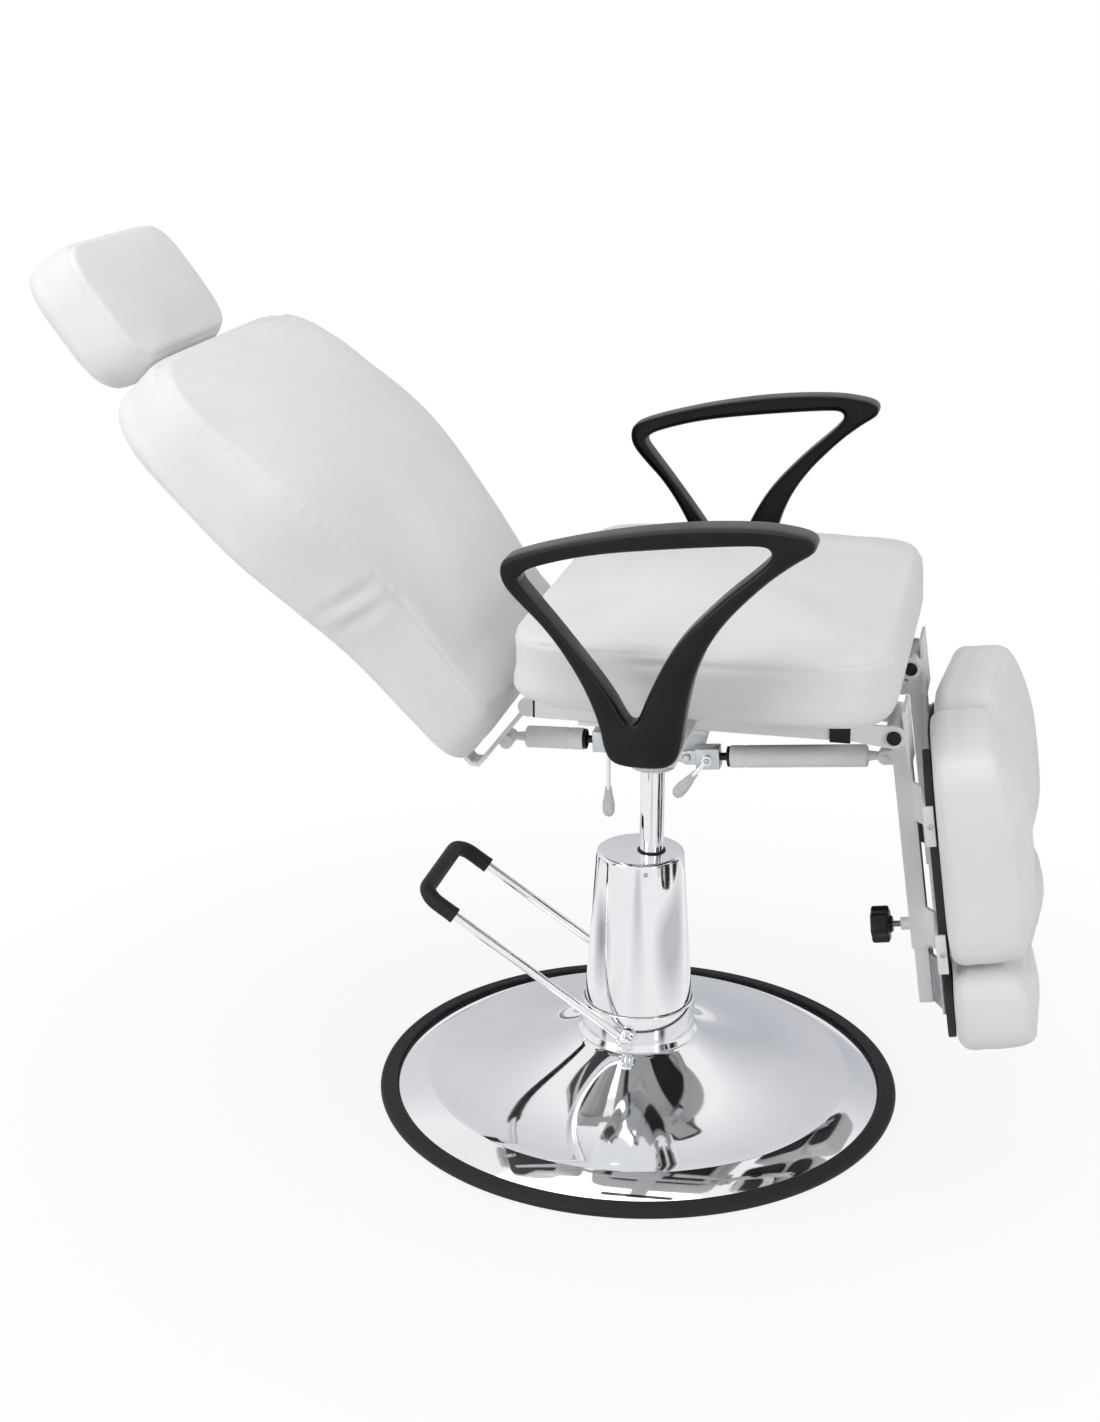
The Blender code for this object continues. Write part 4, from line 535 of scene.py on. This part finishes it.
white_coat, place, drive = new_finish("white_coat", 0.0, Specular_IOR_Level=0.45)
orange_peel = place.noise(420.0, 2.0)
grime = place.noise(13.0, 5.0).between(0.45, 0.8)
drive(
    Base_Color=grime.tint((0.80, 0.81, 0.81), (0.74, 0.75, 0.75)),
    Roughness=0.30 + 0.14 * grime,
    Normal=orange_peel.bump(0.12, 0.0004),
)
hub = turned(
    rounded(
        [
            (0.0166, 0.4686),
            (0.0300, 0.4686, 0.0015),
            (0.0300, 0.4800, 0.0015),
            (0.0270, 0.4815, 0.001),
            (0.0270, 0.5760),
            (0.0310, 0.5830, 0.004),
            (0.0310, 0.5843),
            (0.0166, 0.5843),
        ]
    ),
    steps=64,
)
hub.location = COLUMN_PLACE
settle(hub, "swivel_hub_white", white_coat, "seat")
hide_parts("swivel_hub")


# The seat frame is welded from folded plate and rectangular tube and painted white. Black plugs close the
# open tube ends, and black-capped bolts carry the leg rests between the ears of the front tube.
def copied(node):
    """A copy of a solid as a piece of its own. It is left in edit mode, merged and selected all over."""
    piece = nodes[node].copy()
    piece.data = nodes[node].data.copy()
    piece.parent = None
    for key in list(piece.keys()):
        del piece[key]
    scene.collection.objects.link(piece)
    active(piece)
    bpy.ops.object.mode_set(mode="EDIT")
    bpy.ops.mesh.select_all(action="SELECT")
    bpy.ops.mesh.remove_doubles(threshold=0.00001)
    return piece


def modified(piece, kind, **settings):
    """Gives the active piece a modifier with these settings and applies it."""
    bpy.ops.object.modifier_add(type=kind)
    modifier = piece.modifiers[-1]
    for setting, value in settings.items():
        setattr(modifier, setting, value)
    bpy.ops.object.modifier_apply(modifier=modifier.name)


def eased(node, look, edge):
    """The solid's own shape with its edges rounded over, as paint and sheet folding leave them."""
    piece = copied(node)
    bpy.ops.mesh.dissolve_limited(angle_limit=math.radians(1.0))
    bpy.ops.object.mode_set(mode="OBJECT")
    modified(
        piece,
        "BEVEL",
        width=edge,
        segments=2,
        limit_method="ANGLE",
        angle_limit=math.radians(40.0),
        use_clamp_overlap=True,
    )
    settle(piece, f"{node}_finished", look, nodes[node]["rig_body"], 32.0)
    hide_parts(node)


for node in ("carrier", "seat_rail_right", "seat_rail_left", "front_cross_tube"):
    eased(node, white_coat, 0.0012)
for node in ("back_hinge_right", "back_hinge_left", "arm_bracket_right", "arm_bracket_left"):
    eased(node, white_coat, 0.0008)

satin_black, place, drive = new_finish("satin_black", 0.0, Specular_IOR_Level=0.24)
moulded = place.noise(1500.0, 2.0)
handled = place.noise(22.0, 4.0).between(0.4, 0.75)
drive(
    Base_Color=handled.tint((0.0040, 0.0037, 0.0047), (0.0080, 0.0076, 0.0090)),
    Roughness=0.26 + 0.12 * handled,
    Normal=moulded.bump(0.22, 0.0003),
)


def tube_plug(name, place, size):
    """A black plug with rounded edges. Size is its extent on each axis."""
    bpy.ops.object.select_all(action="DESELECT")
    bpy.ops.mesh.primitive_cube_add(size=1.0, location=place)
    plug = bpy.context.object
    plug.scale = size
    bpy.ops.object.transform_apply(location=True, rotation=True, scale=True)
    modified(plug, "BEVEL", width=0.0012, segments=3)
    settle(plug, name, satin_black, "seat")


def leg_hinge(side):
    """The middle of a leg rest's hinge bolt."""
    return Vector((0.338, side * 0.137, 0.598))


for side, name in ((-1, "right"), (1, "left")):
    tube_plug(f"rail_plug_{name}", (-0.1005, side * 0.178, 0.610), (0.0040, 0.0196, 0.0396))
    tube_plug(f"cross_plug_{name}", (0.2745, side * 0.1885, 0.6005), (0.0246, 0.0040, 0.0246))
    bolt = turned(
        rounded(
            [
                (0.0, -0.0536),
                (0.0085, -0.0530, 0.003),
                (0.0090, -0.0490, 0.0008),
                (0.0050, -0.0487),
                (0.0050, 0.0487),
                (0.0090, 0.0490, 0.0008),
                (0.0085, 0.0530, 0.003),
                (0.0, 0.0536),
            ]
        ),
        steps=40,
        closed=False,
    )
    standing(bolt, leg_hinge(side), leg_hinge(side) + Vector((0.0, 1.0, 0.0)))
    settle(bolt, f"leg_bolt_{name}", satin_black, "seat")
    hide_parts(f"leg_hinge_bolt_{name}")

# The arm rests are one-piece black mouldings: a bowed bar on two legs that run together in a broad foot.
# Each leans outwards, is thickest at the top, and is bolted through its foot to a folded bracket.
ARM_EDGE = [
    (-0.1495, 0.2455), (-0.1100, 0.2585), (-0.0400, 0.2755), (0.0450, 0.2890), (0.1250, 0.2935),
    (0.1660, 0.2890), (0.1825, 0.2835), (0.1870, 0.2755), (0.1835, 0.2665), (0.1640, 0.2545),
    (0.1300, 0.2270), (0.0830, 0.1760), (0.0560, 0.1230), (0.0440, 0.0620), (0.0400, 0.0220),
    (0.0330, 0.0065), (0.0150, 0.0000), (-0.0200, 0.0000), (-0.0385, 0.0045), (-0.0475, 0.0190),
    (-0.0530, 0.0480), (-0.0720, 0.0980), (-0.1080, 0.1560), (-0.1480, 0.1960), (-0.1605, 0.2125),
    (-0.1635, 0.2265), (-0.1605, 0.2385),
]
ARM_HOLE = [
    (-0.1420, 0.2150), (-0.1400, 0.2235), (-0.1250, 0.2335), (-0.0600, 0.2515), (0.0300, 0.2635),
    (0.1180, 0.2725), (0.1365, 0.2710), (0.1385, 0.2600), (0.1220, 0.2420), (0.0830, 0.2075),
    (0.0330, 0.1530), (0.0040, 0.0930), (-0.0090, 0.0560), (-0.0158, 0.0510), (-0.0235, 0.0560),
    (-0.0391, 0.0870), (-0.0901, 0.1525), (-0.1314, 0.2020),
]


def smoothed(loop, rounds):
    """A closed loop with its corners cut off, again and again, until it flows."""
    for _ in range(rounds):
        ends = list(zip(loop, loop[1:] + loop[:1]))
        loop = []
        for (ax, ay), (bx, by) in ends:
            loop.append((0.75 * ax + 0.25 * bx, 0.75 * ay + 0.25 * by))
            loop.append((0.25 * ax + 0.75 * bx, 0.25 * ay + 0.75 * by))
    return loop


# Rings of the arm's section, from the floor of its hollow inner side round to the flat of its outer side.
# Each is a distance in from the edge and a distance outwards from the arm's middle.
ARM_SECTION = [
    (0.0037, -0.0063), (0.0031, -0.0148), (0.0026, -0.0160), (0.0014, -0.0160), (0.0005, -0.0146),
    (0.0, -0.0125), (0.0, 0.0070), (0.0003, 0.0098), (0.0009, 0.0122), (0.0019, 0.0142),
    (0.0032, 0.0154), (0.0046, 0.0160),
]
ARM_PLACE = (0.073, 0.365, 0.606)
ARM_LEAN = 0.022
ARM_THICKENING = 0.375


def moulding(edge, hole, section):
    """A flat moulding between an outer edge and a hole, both listed clockwise."""
    shape = bmesh.new()
    rims = []
    for loop, hand in ((edge, 1), (hole, -1)):
        rings = []
        for inward, height in section:
            ring = []
            for before, here, after in zip(loop[-1:] + loop[:-1], loop, loop[1:] + loop[:1]):
                along = (Vector(after) - Vector(before)).normalized() * hand * inward
                ring.append(shape.verts.new((here[0] + along.y, here[1] - along.x, height)))
            rings.append(ring)
        for low, high in zip(rings, rings[1:]):
            for index in range(len(low)):
                shape.faces.new((low[index - 1], low[index], high[index], high[index - 1]))
        rims.append((rings[0], rings[-1]))
    for end in (0, 1):
        edges = []
        for pair in rims:
            rim = pair[end]
            edges += [shape.edges.get((rim[index - 1], rim[index])) for index in range(len(rim))]
        bmesh.ops.triangle_fill(shape, use_beauty=True, edges=edges)
    mesh = bpy.data.meshes.new("moulding")
    shape.to_mesh(mesh)
    shape.free()
    piece = bpy.data.objects.new("moulding", mesh)
    scene.collection.objects.link(piece)
    return piece


def unit(value):
    """The value, held between 0 and 1."""
    return min(1.0, max(0.0, value))


for side, name in ((-1, "right"), (1, "left")):
    arm = moulding(smoothed(ARM_EDGE, 3), smoothed(ARM_HOLE, 3), ARM_SECTION)
    for spot in arm.data.vertices:
        along, up, across = spot.co
        climb = unit((up - 0.058) / 0.233)
        stretch = 1.0 + ARM_THICKENING * climb
        outwards = ARM_PLACE[1] + ARM_LEAN * climb + across * stretch
        spot.co = (ARM_PLACE[0] + along, side * outwards, ARM_PLACE[2] + up)
    active(arm)
    bpy.ops.object.mode_set(mode="EDIT")
    bpy.ops.mesh.select_all(action="SELECT")
    bpy.ops.mesh.normals_make_consistent(inside=False)
    bpy.ops.object.mode_set(mode="OBJECT")
    settle(arm, f"arm_loop_{name}", satin_black, "seat", 50.0)
    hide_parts(f"armrest_{name}")
    for number, (x, z) in enumerate(((0.055, 0.634), (0.091, 0.634))):
        foot = (x, side * 0.3444, z)
        pan_screw(f"arm_screw_{name}_{number}", foot, (x, 0.0, z), 0.0062, plain_steel, "seat")

# Every cushion is a block of foam on a plywood board, pulled tight under white imitation leather. The cover
# is sewn from a face panel and a side band, and black lining closes it behind.
black_lining, place, drive = new_finish("black_lining", 0.0)
fibre = place.noise(650.0, 3.0)
patchy = place.noise(16.0, 3.0)
drive(
    Base_Color=patchy.tint((0.012, 0.012, 0.013), (0.028, 0.027, 0.029)),
    Roughness=0.72 + 0.2 * fibre,
    Normal=fibre.bump(0.5, 0.0006),
)
white_leather, place, drive = new_finish("white_leather", 0.0, Specular_IOR_Level=0.42)
pebbles = place.node(
    "ShaderNodeTexVoronoi", {"feature": "SMOOTH_F1"}, {"Vector": place, "Scale": 620.0, "Smoothness": 0.6}
)
pores = place.noise(1900.0, 2.0)
cloudy = place.noise(7.0, 4.0).between(0.3, 0.75)
drive(
    Base_Color=cloudy.tint((0.795, 0.795, 0.790), (0.840, 0.840, 0.836)),
    Roughness=0.40 + 0.14 * cloudy + 0.06 * pores,
    Normal=(0.75 * pebbles + 0.25 * pores).bump(0.16, 0.0006),
)
SEAM_SPREAD = 0.11
SEAM_DEPTH = 0.0024


def upholster(
    node, front, voxel, swell, bulge, lift, soft, seam_at=0.60, creases=(), skirt=0.0, hinge=None
):
    """Foam and cover in the place of a solid: remeshed fine, blown up as cloth, then drawn in at its seam.

    Front points out of the face. The swell is how far the cover is drawn in before it is blown up. The
    bulge fills out the side band, the lift raises the face inside its seam, and soft rounds the corners.
    The seam runs on the edge at seam_at, from 0 on the band to 1 on the face. A crease is a start, an end,
    a half width and a depth. The skirt is how far the cover reaches down round its board. Near the hinge
    the cover stays as flat as the solid, so that back and seat clear each other.
    """
    pad = copied(node)
    bpy.ops.mesh.tris_convert_to_quads()
    bpy.ops.mesh.normals_make_consistent(inside=False)
    bpy.ops.object.mode_set(mode="OBJECT")
    ahead = Vector(front).normalized()
    beside = {}
    for face in pad.data.polygons:
        for key in face.edge_keys:
            beside.setdefault(key, []).append(face.normal.dot(ahead))
    firm = pad.data.attributes.new("crease_edge", "FLOAT", "EDGE")
    for line in pad.data.edges:
        if min(beside[line.key]) < seam_at < max(beside[line.key]):
            firm.data[line.index].value = 0.8
    modified(pad, "SUBSURF", levels=2, render_levels=2)
    modified(pad, "REMESH", mode="VOXEL", voxel_size=voxel)
    modified(pad, "SMOOTH", factor=0.5, iterations=soft)
    spots = pad.data.vertices
    outward = [spot.normal.copy() for spot in spots]
    facing = [normal.dot(ahead) for normal in outward]
    depth = [spot.co.dot(ahead) for spot in spots]
    rear = min(depth)
    seam = [math.exp(-(((value - seam_at) / SEAM_SPREAD) ** 2)) for value in facing]
    loose = [unit((value - rear - 0.010) / 0.020) for value in depth]
    edge = max(value for value, turned_up in zip(depth, facing) if turned_up < 0.4)
    if hinge is None:
        away = [1.0 for _ in spots]
    else:
        away = [math.hypot(spot.co.x - hinge[0], spot.co.z - hinge[1]) for spot in spots]
    free = [unit((value - 0.10) / 0.10) for value in away]
    hung = [unit((value - 0.03) / 0.06) for value in away]
    for index, spot in enumerate(spots):
        share = min(1.0, (depth[index] - rear) / (edge - rear))
        sideways = max(0.0, 1.0 - abs(facing[index]) / 0.7)
        spot.co += outward[index] * bulge * math.sin(math.pi * share) * sideways * free[index]
        spot.co += ahead * lift * unit((facing[index] - 0.65) / 0.30) * free[index]
        spot.co -= ahead * skirt * max(0.0, 1.0 - (depth[index] - rear) / 0.035) * hung[index]
    rest = [spot.co - normal * swell * ease for spot, normal, ease in zip(spots, outward, loose)]
    held = pad.vertex_groups.new(name="held")
    for index, ease in enumerate(loose):
        held.add([index], max(1.0 - ease, 0.85 * seam[index], 0.8 - 0.8 * free[index]), "REPLACE")
    for spot, start in zip(spots, rest):
        spot.co = start
    blow_up(pad, rest, swell)
    pad.vertex_groups.clear()
    for start, end, width, fold in creases:
        start, end = Vector(start), Vector(end)
        run = end - start
        for index, spot in enumerate(spots):
            share = unit((spot.co - start).dot(run) / run.length_squared)
            gap = (spot.co - start - run * share).length
            if gap < 4 * width:
                valley = math.exp(-((gap / width) ** 2))
                ridge = 0.45 * math.exp(-(((gap - 1.9 * width) / width) ** 2))
                fading = math.sin(math.pi * (0.12 + 0.76 * share))
                spot.co -= outward[index] * fold * (valley - ridge) * fading
    for index, spot in enumerate(spots):
        spot.co -= outward[index] * SEAM_DEPTH * seam[index] * loose[index]
    modified(pad, "SUBSURF", levels=1, render_levels=1)
    return pad


CLOTH_FRAMES = 20
CALM_ROUNDS = 20


def blow_up(pad, rest, swell):
    """Cloth under pressure, held at the seam and on the board. Its ripples are then averaged out.

    No point moves further than three times the swell.
    """
    active(pad)
    bpy.ops.object.modifier_add(type="CLOTH")
    cloth = pad.modifiers[-1]
    cover = cloth.settings
    cover.quality = 6
    cover.mass = 0.35
    cover.tension_stiffness = 14.0
    cover.compression_stiffness = 14.0
    cover.shear_stiffness = 8.0
    cover.bending_stiffness = 3.0
    cover.air_damping = 2.0
    cover.use_pressure = True
    cover.uniform_pressure_force = 5.0
    cover.vertex_group_mass = "held"
    cover.pin_stiffness = 1.0
    cover.effector_weights.gravity = 0.0
    cloth.point_cache.frame_start = 1
    cloth.point_cache.frame_end = 24
    for moment in range(1, CLOTH_FRAMES + 1):
        scene.frame_set(moment)
    graph = bpy.context.evaluated_depsgraph_get()
    blown = pad.evaluated_get(graph).to_mesh()
    shifts = [spot.co - start for spot, start in zip(blown.vertices, rest)]
    pad.evaluated_get(graph).to_mesh_clear()
    pad.modifiers.remove(cloth)
    scene.frame_set(1)
    around = [[] for _ in shifts]
    for line in pad.data.edges:
        first, second = line.vertices
        around[first].append(second)
        around[second].append(first)
    for _ in range(CALM_ROUNDS):
        calm = []
        for shift, beside in zip(shifts, around):
            mean = sum((shifts[other] for other in beside), Vector()) / len(beside)
            calm.append(shift.lerp(mean, 0.6))
        shifts = calm
    for spot, start, shift in zip(pad.data.vertices, rest, shifts):
        if shift.length > 3 * swell:
            shift = shift.normalized() * 3 * swell
        spot.co = start + shift


def cushion_done(pad, name, node, body):
    """Gives a cushion its leather and fixes it to the body that carries it, in the place of the solid."""
    settle(pad, name, white_leather, body, 180.0)
    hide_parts(node)


# The seat cushion is a deep box cushion with rounded corners and a few folds along its sides. Its board is
# lined in black and rests on the rails.
eased("seat_board", black_lining, 0.002)
BACK_HINGE = (-0.114, 0.596)
SEAT_FOLDS = []
for side in (-1, 1):
    for start, end, height, deep in (
        (0.02, 0.17, 0.702, 0.0032), (0.14, 0.28, 0.705, 0.0026), (-0.07, 0.05, 0.707, 0.0020),
    ):
        edge_line = side * 0.2975
        SEAT_FOLDS.append(((start, edge_line, height), (end, edge_line, height + 0.005), 0.0045, deep))
seat_pad = upholster(
    "seat_cushion",
    front=(0.0, 0.0, 1.0),
    voxel=0.0055,
    swell=0.005,
    bulge=0.0045,
    lift=0.004,
    soft=2,
    seam_at=0.28,
    creases=SEAT_FOLDS,
    skirt=0.010,
    hinge=BACK_HINGE,
)
cushion_done(seat_pad, "seat_pad", "seat_cushion", "seat")

# The back rest hangs on two bent white straps that turn on the hinge pins. Board and cushion are cut to a
# waist above the seat, and a sleeve behind the board takes the head rest's flat bar.
for node in ("back_strap_right", "back_strap_left", "headrest_sleeve"):
    eased(node, white_coat, 0.0008)
eased("back_board", black_lining, 0.002)
BACK_AHEAD = (0.71325, 0.0, 0.70091)
BACK_PLACE = Matrix.Translation((BACK_HINGE[0], 0.0, BACK_HINGE[1]))
BACK_PLACE = BACK_PLACE @ Matrix.Rotation(math.radians(-44.5), 4, "Y")
WAIST_FOLDS = []
for side in (-1, 1):
    for low, high, rise, reach in ((0.262, 0.240, -0.012, 0.0040), (0.225, 0.214, -0.020, 0.0026)):
        start = BACK_PLACE @ Vector((-0.088, side * 0.240, low))
        end = BACK_PLACE @ Vector((rise, side * 0.236, high))
        WAIST_FOLDS.append((start, end, 0.0085, reach))
back_pad = upholster(
    "back_cushion",
    front=BACK_AHEAD,
    voxel=0.0055,
    swell=0.005,
    bulge=0.004,
    lift=0.012,
    soft=2,
    seam_at=0.62,
    creases=WAIST_FOLDS,
    hinge=BACK_HINGE,
)
cushion_done(back_pad, "back_pad", "back_cushion", "back")

# The head rest is a small cushion on the bent end of that bar, tipped a little forward of the back rest.
# The bar is plain flat steel and slides in the sleeve.
eased("headrest_bar", plain_steel, 0.0006)
HEAD_AHEAD = (0.80386, 0.0, 0.59482)
head_pad = upholster(
    "headrest_cushion", front=HEAD_AHEAD, voxel=0.0045, swell=0.0045, bulge=0.006, lift=0.004, soft=3
)
cushion_done(head_pad, "head_pad", "headrest_cushion", "headrest")

# Each leg rest is a square tube on a barrel hinge, with folded ties to a board and a calf cushion. A
# smaller tube slides in it with the foot cushion, and a lobed knob clamps it.
galvanised, place, drive = new_finish("galvanised", 1.0)
spangle = place.node("ShaderNodeTexVoronoi", {}, {"Vector": place, "Scale": 160.0}, "Color")
spangle_value = spangle.node("ShaderNodeSeparateColor", {}, {"Color": spangle})
drive(
    Base_Color=spangle_value.tint((0.40, 0.41, 0.43), (0.52, 0.53, 0.55)),
    Roughness=0.34 + 0.12 * spangle_value,
)
for side, name in ((-1, "right"), (1, "left")):
    for node in (f"leg_frame_{name}", f"foot_tube_{name}"):
        eased(node, white_coat, 0.0008)
    leg_place = Matrix.Translation(leg_hinge(side)) @ Matrix.Rotation(math.radians(-8.4), 4, "Y")
    for number, drop in enumerate((0.095, 0.2595)):
        foot = leg_place @ Vector((0.0375, side * 0.1000, -drop))
        beyond = foot + Vector((0, side, 0))
        pan_screw(f"tie_screw_{name}_{number}", foot, beyond, 0.0036, plain_steel, f"leg_{name}")
    eased(f"foot_bracket_{name}", galvanised, 0.0007)
    for node in (f"leg_board_{name}", f"foot_board_{name}"):
        eased(node, black_lining, 0.0015)
    ahead = (0.98551, -side * 0.08716, 0.14553)
    calf_pad = upholster(
        f"leg_cushion_{name}", front=ahead, voxel=0.0045, swell=0.0045, bulge=0.006, lift=-0.002, soft=2
    )
    cushion_done(calf_pad, f"calf_pad_{name}", f"leg_cushion_{name}", f"leg_{name}")
    foot_pad = upholster(
        f"foot_cushion_{name}", front=ahead, voxel=0.0045, swell=0.004, bulge=0.006, lift=-0.010, soft=2
    )
    cushion_done(foot_pad, f"foot_pad_{name}", f"foot_cushion_{name}", f"foot_{name}")

# The clamp knobs are black lobed grips, each moulded on a zinc-plated stud. The stud screws into the leg
# rest's tube and presses on the foot tube inside it.
zinc_plate, place, drive = new_finish("zinc_plate", 1.0)
dull = place.noise(55.0, 4.0)
drive(Base_Color=dull.tint((0.46, 0.49, 0.52), (0.62, 0.64, 0.66)), Roughness=0.26 + 0.2 * dull)
KNOBS = (
    ("right", (0.367573, -0.137, 0.339547), (-0.98927, 0.0, -0.14608)),
    ("left", (0.374498, 0.148, 0.34057), (0.0, 1.0, 0.0)),
)
GRIP_RADIUS = 0.021
GRIP_LOBES = 7
for name, foot, away in KNOBS:
    bpy.ops.object.select_all(action="DESELECT")
    bpy.ops.mesh.primitive_cylinder_add(
        vertices=84, radius=GRIP_RADIUS, depth=0.022, location=(0, 0, 0.0365)
    )
    grip = bpy.context.object
    bpy.ops.object.transform_apply(location=True, rotation=True, scale=True)
    for spot in grip.data.vertices:
        angle = math.atan2(spot.co.y, spot.co.x)
        reach = (0.0235 - 0.0026 * (0.5 - 0.5 * math.cos(GRIP_LOBES * angle))) / GRIP_RADIUS
        spot.co.x *= reach
        spot.co.y *= reach
    modified(grip, "BEVEL", width=0.003, segments=4, angle_limit=math.radians(60.0))
    neck_section = [(0.0, 0.0215), (0.0095, 0.0215), (0.0120, 0.0260, 0.001), (0.0, 0.0260)]
    neck = turned(rounded(neck_section), steps=40, closed=False)
    grip = joined(grip, neck)
    standing(grip, foot, Vector(foot) + Vector(away))
    settle(grip, f"clamp_grip_{name}", satin_black, f"clamp_{name}", 40.0)
    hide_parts(f"clamp_knob_{name}")
    profile = [(0.0, -0.0016), (0.0038, -0.0016)]
    for ridge in range(18):
        low = -0.0010 + 0.00125 * ridge
        profile += [(0.0040, low), (0.0036, low + 0.00062)]
    profile += [(0.0038, 0.0225), (0.0, 0.0225)]
    stud = turned(profile, steps=24, closed=False)
    standing(stud, foot, Vector(foot) + Vector(away))
    settle(stud, f"clamp_stud_{name}", zinc_plate, f"clamp_{name}", 60.0)

# Three gas struts hold the back and the leg rests. Each has a white cylinder with a thin black sleeve at
# its mouth, a black rod, a zinc-plated release head on the rod, and a chromed lever with a pale grip that
# opens the valve.
black_rod, place, drive = new_finish("black_rod", 0.6)
wiped = place.noise(60.0, 3.0)
drive(Base_Color=wiped.tint((0.014, 0.014, 0.015), (0.026, 0.026, 0.028)), Roughness=0.14 + 0.12 * wiped)
lever_grey, place, drive = new_finish("lever_grey", 0.0)
rubbed = place.noise(48.0, 3.0)
drive(Base_Color=rubbed.tint((0.52, 0.53, 0.53), (0.66, 0.67, 0.67)), Roughness=0.34 + 0.16 * rubbed)
STRUTS = (
    ("leg_strut_right", "leg_strut_rod_right", "leg_strut_cylinder_right", "leg_lever_right",
     (0.0825, -0.137, 0.536), (0.326012, -0.137, 0.55802), -0.1518, 227.0, 0.064),
    ("leg_strut_left", "leg_strut_rod_left", "leg_strut_cylinder_left", "leg_lever_left",
     (0.0825, 0.137, 0.536), (0.326012, 0.137, 0.55802), 0.1518, 227.0, 0.064),
    ("back_strut", "back_strut_rod", "back_strut_cylinder", "back_lever",
     (0.0, -0.107, 0.540), (-0.150598, -0.107, 0.534799), -0.0922, 271.0, 0.110),
)
PADDLE_LENGTH = 0.042
for name, rod_body, tube_body, lever_body, pivot, lug, lever_y, lever_angle, lever_length in STRUTS:
    pivot = Vector(pivot)
    lug = Vector(lug)
    length = (lug - pivot).length
    along = (lug - pivot).normalized()
    eased(f"{name}_head", zinc_plate, 0.0012)
    rod_end = min(0.177, length - 0.037)
    rod_section = [(0.0, 0.0423), (0.005, 0.0423), (0.005, rod_end, 0.001), (0.0, rod_end)]
    slim = turned(rounded(rod_section), steps=32, closed=False)
    standing(slim, pivot, lug)
    settle(slim, f"{name}_slim_rod", black_rod, rod_body)
    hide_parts(f"{name}_rod")
    mouth = 0.052
    end = length - 0.021
    barrel = turned(
        rounded(
            [
                (0.0118, mouth + 0.003),
                (0.0140, mouth + 0.003, 0.0006),
                (0.0140, mouth + 0.0195, 0.0005),
                (0.0133, mouth + 0.0205, 0.0004),
                (0.0133, mouth + 0.0220, 0.0004),
                (0.0140, mouth + 0.0230, 0.0005),
                (0.0140, end, 0.0035),
                (0.0052, end),
                (0.0052, end - 0.012),
                (0.0118, end - 0.012),
            ],
            steps=4,
        ),
        steps=64,
    )
    standing(barrel, pivot, lug)
    bpy.ops.object.select_all(action="DESELECT")
    bpy.ops.mesh.primitive_cylinder_add(vertices=40, radius=0.009, depth=0.0098, location=lug)
    tongue = bpy.context.object
    tongue.rotation_euler = (math.radians(90.0), 0.0, 0.0)
    modified(tongue, "BEVEL", width=0.001)
    neck_foot = end - 0.004
    neck_end = length - 0.006
    neck_section = [(0.0, neck_foot), (0.0070, neck_foot), (0.0048, neck_end), (0.0, neck_end)]
    neck = turned(rounded(neck_section), steps=24, closed=False)
    standing(neck, pivot, lug)
    barrel = joined(barrel, tongue, neck)
    settle(barrel, f"{name}_barrel", white_coat, tube_body, 40.0)
    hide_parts(f"{name}_cylinder")
    lip = mouth - 0.001
    inside = mouth + 0.006
    cap_section = [(0.0117, lip), (0.0129, lip, 0.0005), (0.0129, inside), (0.0117, inside)]
    cap = turned(rounded(cap_section), steps=48)
    standing(cap, pivot, lug)
    settle(cap, f"{name}_mouth_cap", satin_black, tube_body)
    root = pivot + along * 0.027
    up = Vector((0, 0, 1)) - along * along.z
    up.normalize()
    angle = math.radians(lever_angle)
    away = along * math.cos(angle) + up * math.sin(angle)
    root.y = lever_y
    grip_start = root + away * (lever_length - PADDLE_LENGTH)
    eye_section = [(0.0034, -0.003), (0.0065, -0.003, 0.0008), (0.0065, 0.003, 0.0008), (0.0034, 0.003)]
    eye = turned(rounded(eye_section), steps=32)
    standing(eye, root, root + Vector((0, 1, 0)))
    wire = bent_bar([root + away * 0.005, grip_start + away * 0.006], 0.0029, 4)
    wire = joined(wire, eye)
    settle(wire, f"{name}_lever_wire", bright_chrome, lever_body, 45.0)
    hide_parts(f"{name}_lever")
    paddle = turned(
        rounded(
            [
                (0.0, 0.0),
                (0.0040, 0.0, 0.001),
                (0.0046, 0.006, 0.004),
                (0.0080, 0.024, 0.02),
                (0.0078, 0.036, 0.008),
                (0.0040, 0.0415, 0.004),
                (0.0, PADDLE_LENGTH),
            ]
        ),
        steps=32,
        closed=False,
    )
    for spot in paddle.data.vertices:
        spot.co.x *= 0.62
    flat = away.cross(Vector((0, 1, 0))).normalized()
    turn = Matrix((Vector((0, 1, 0)), -flat, away)).transposed().to_4x4()
    paddle.matrix_world = Matrix.Translation(grip_start) @ turn
    settle(paddle, f"{name}_paddle", lever_grey, lever_body, 60.0)
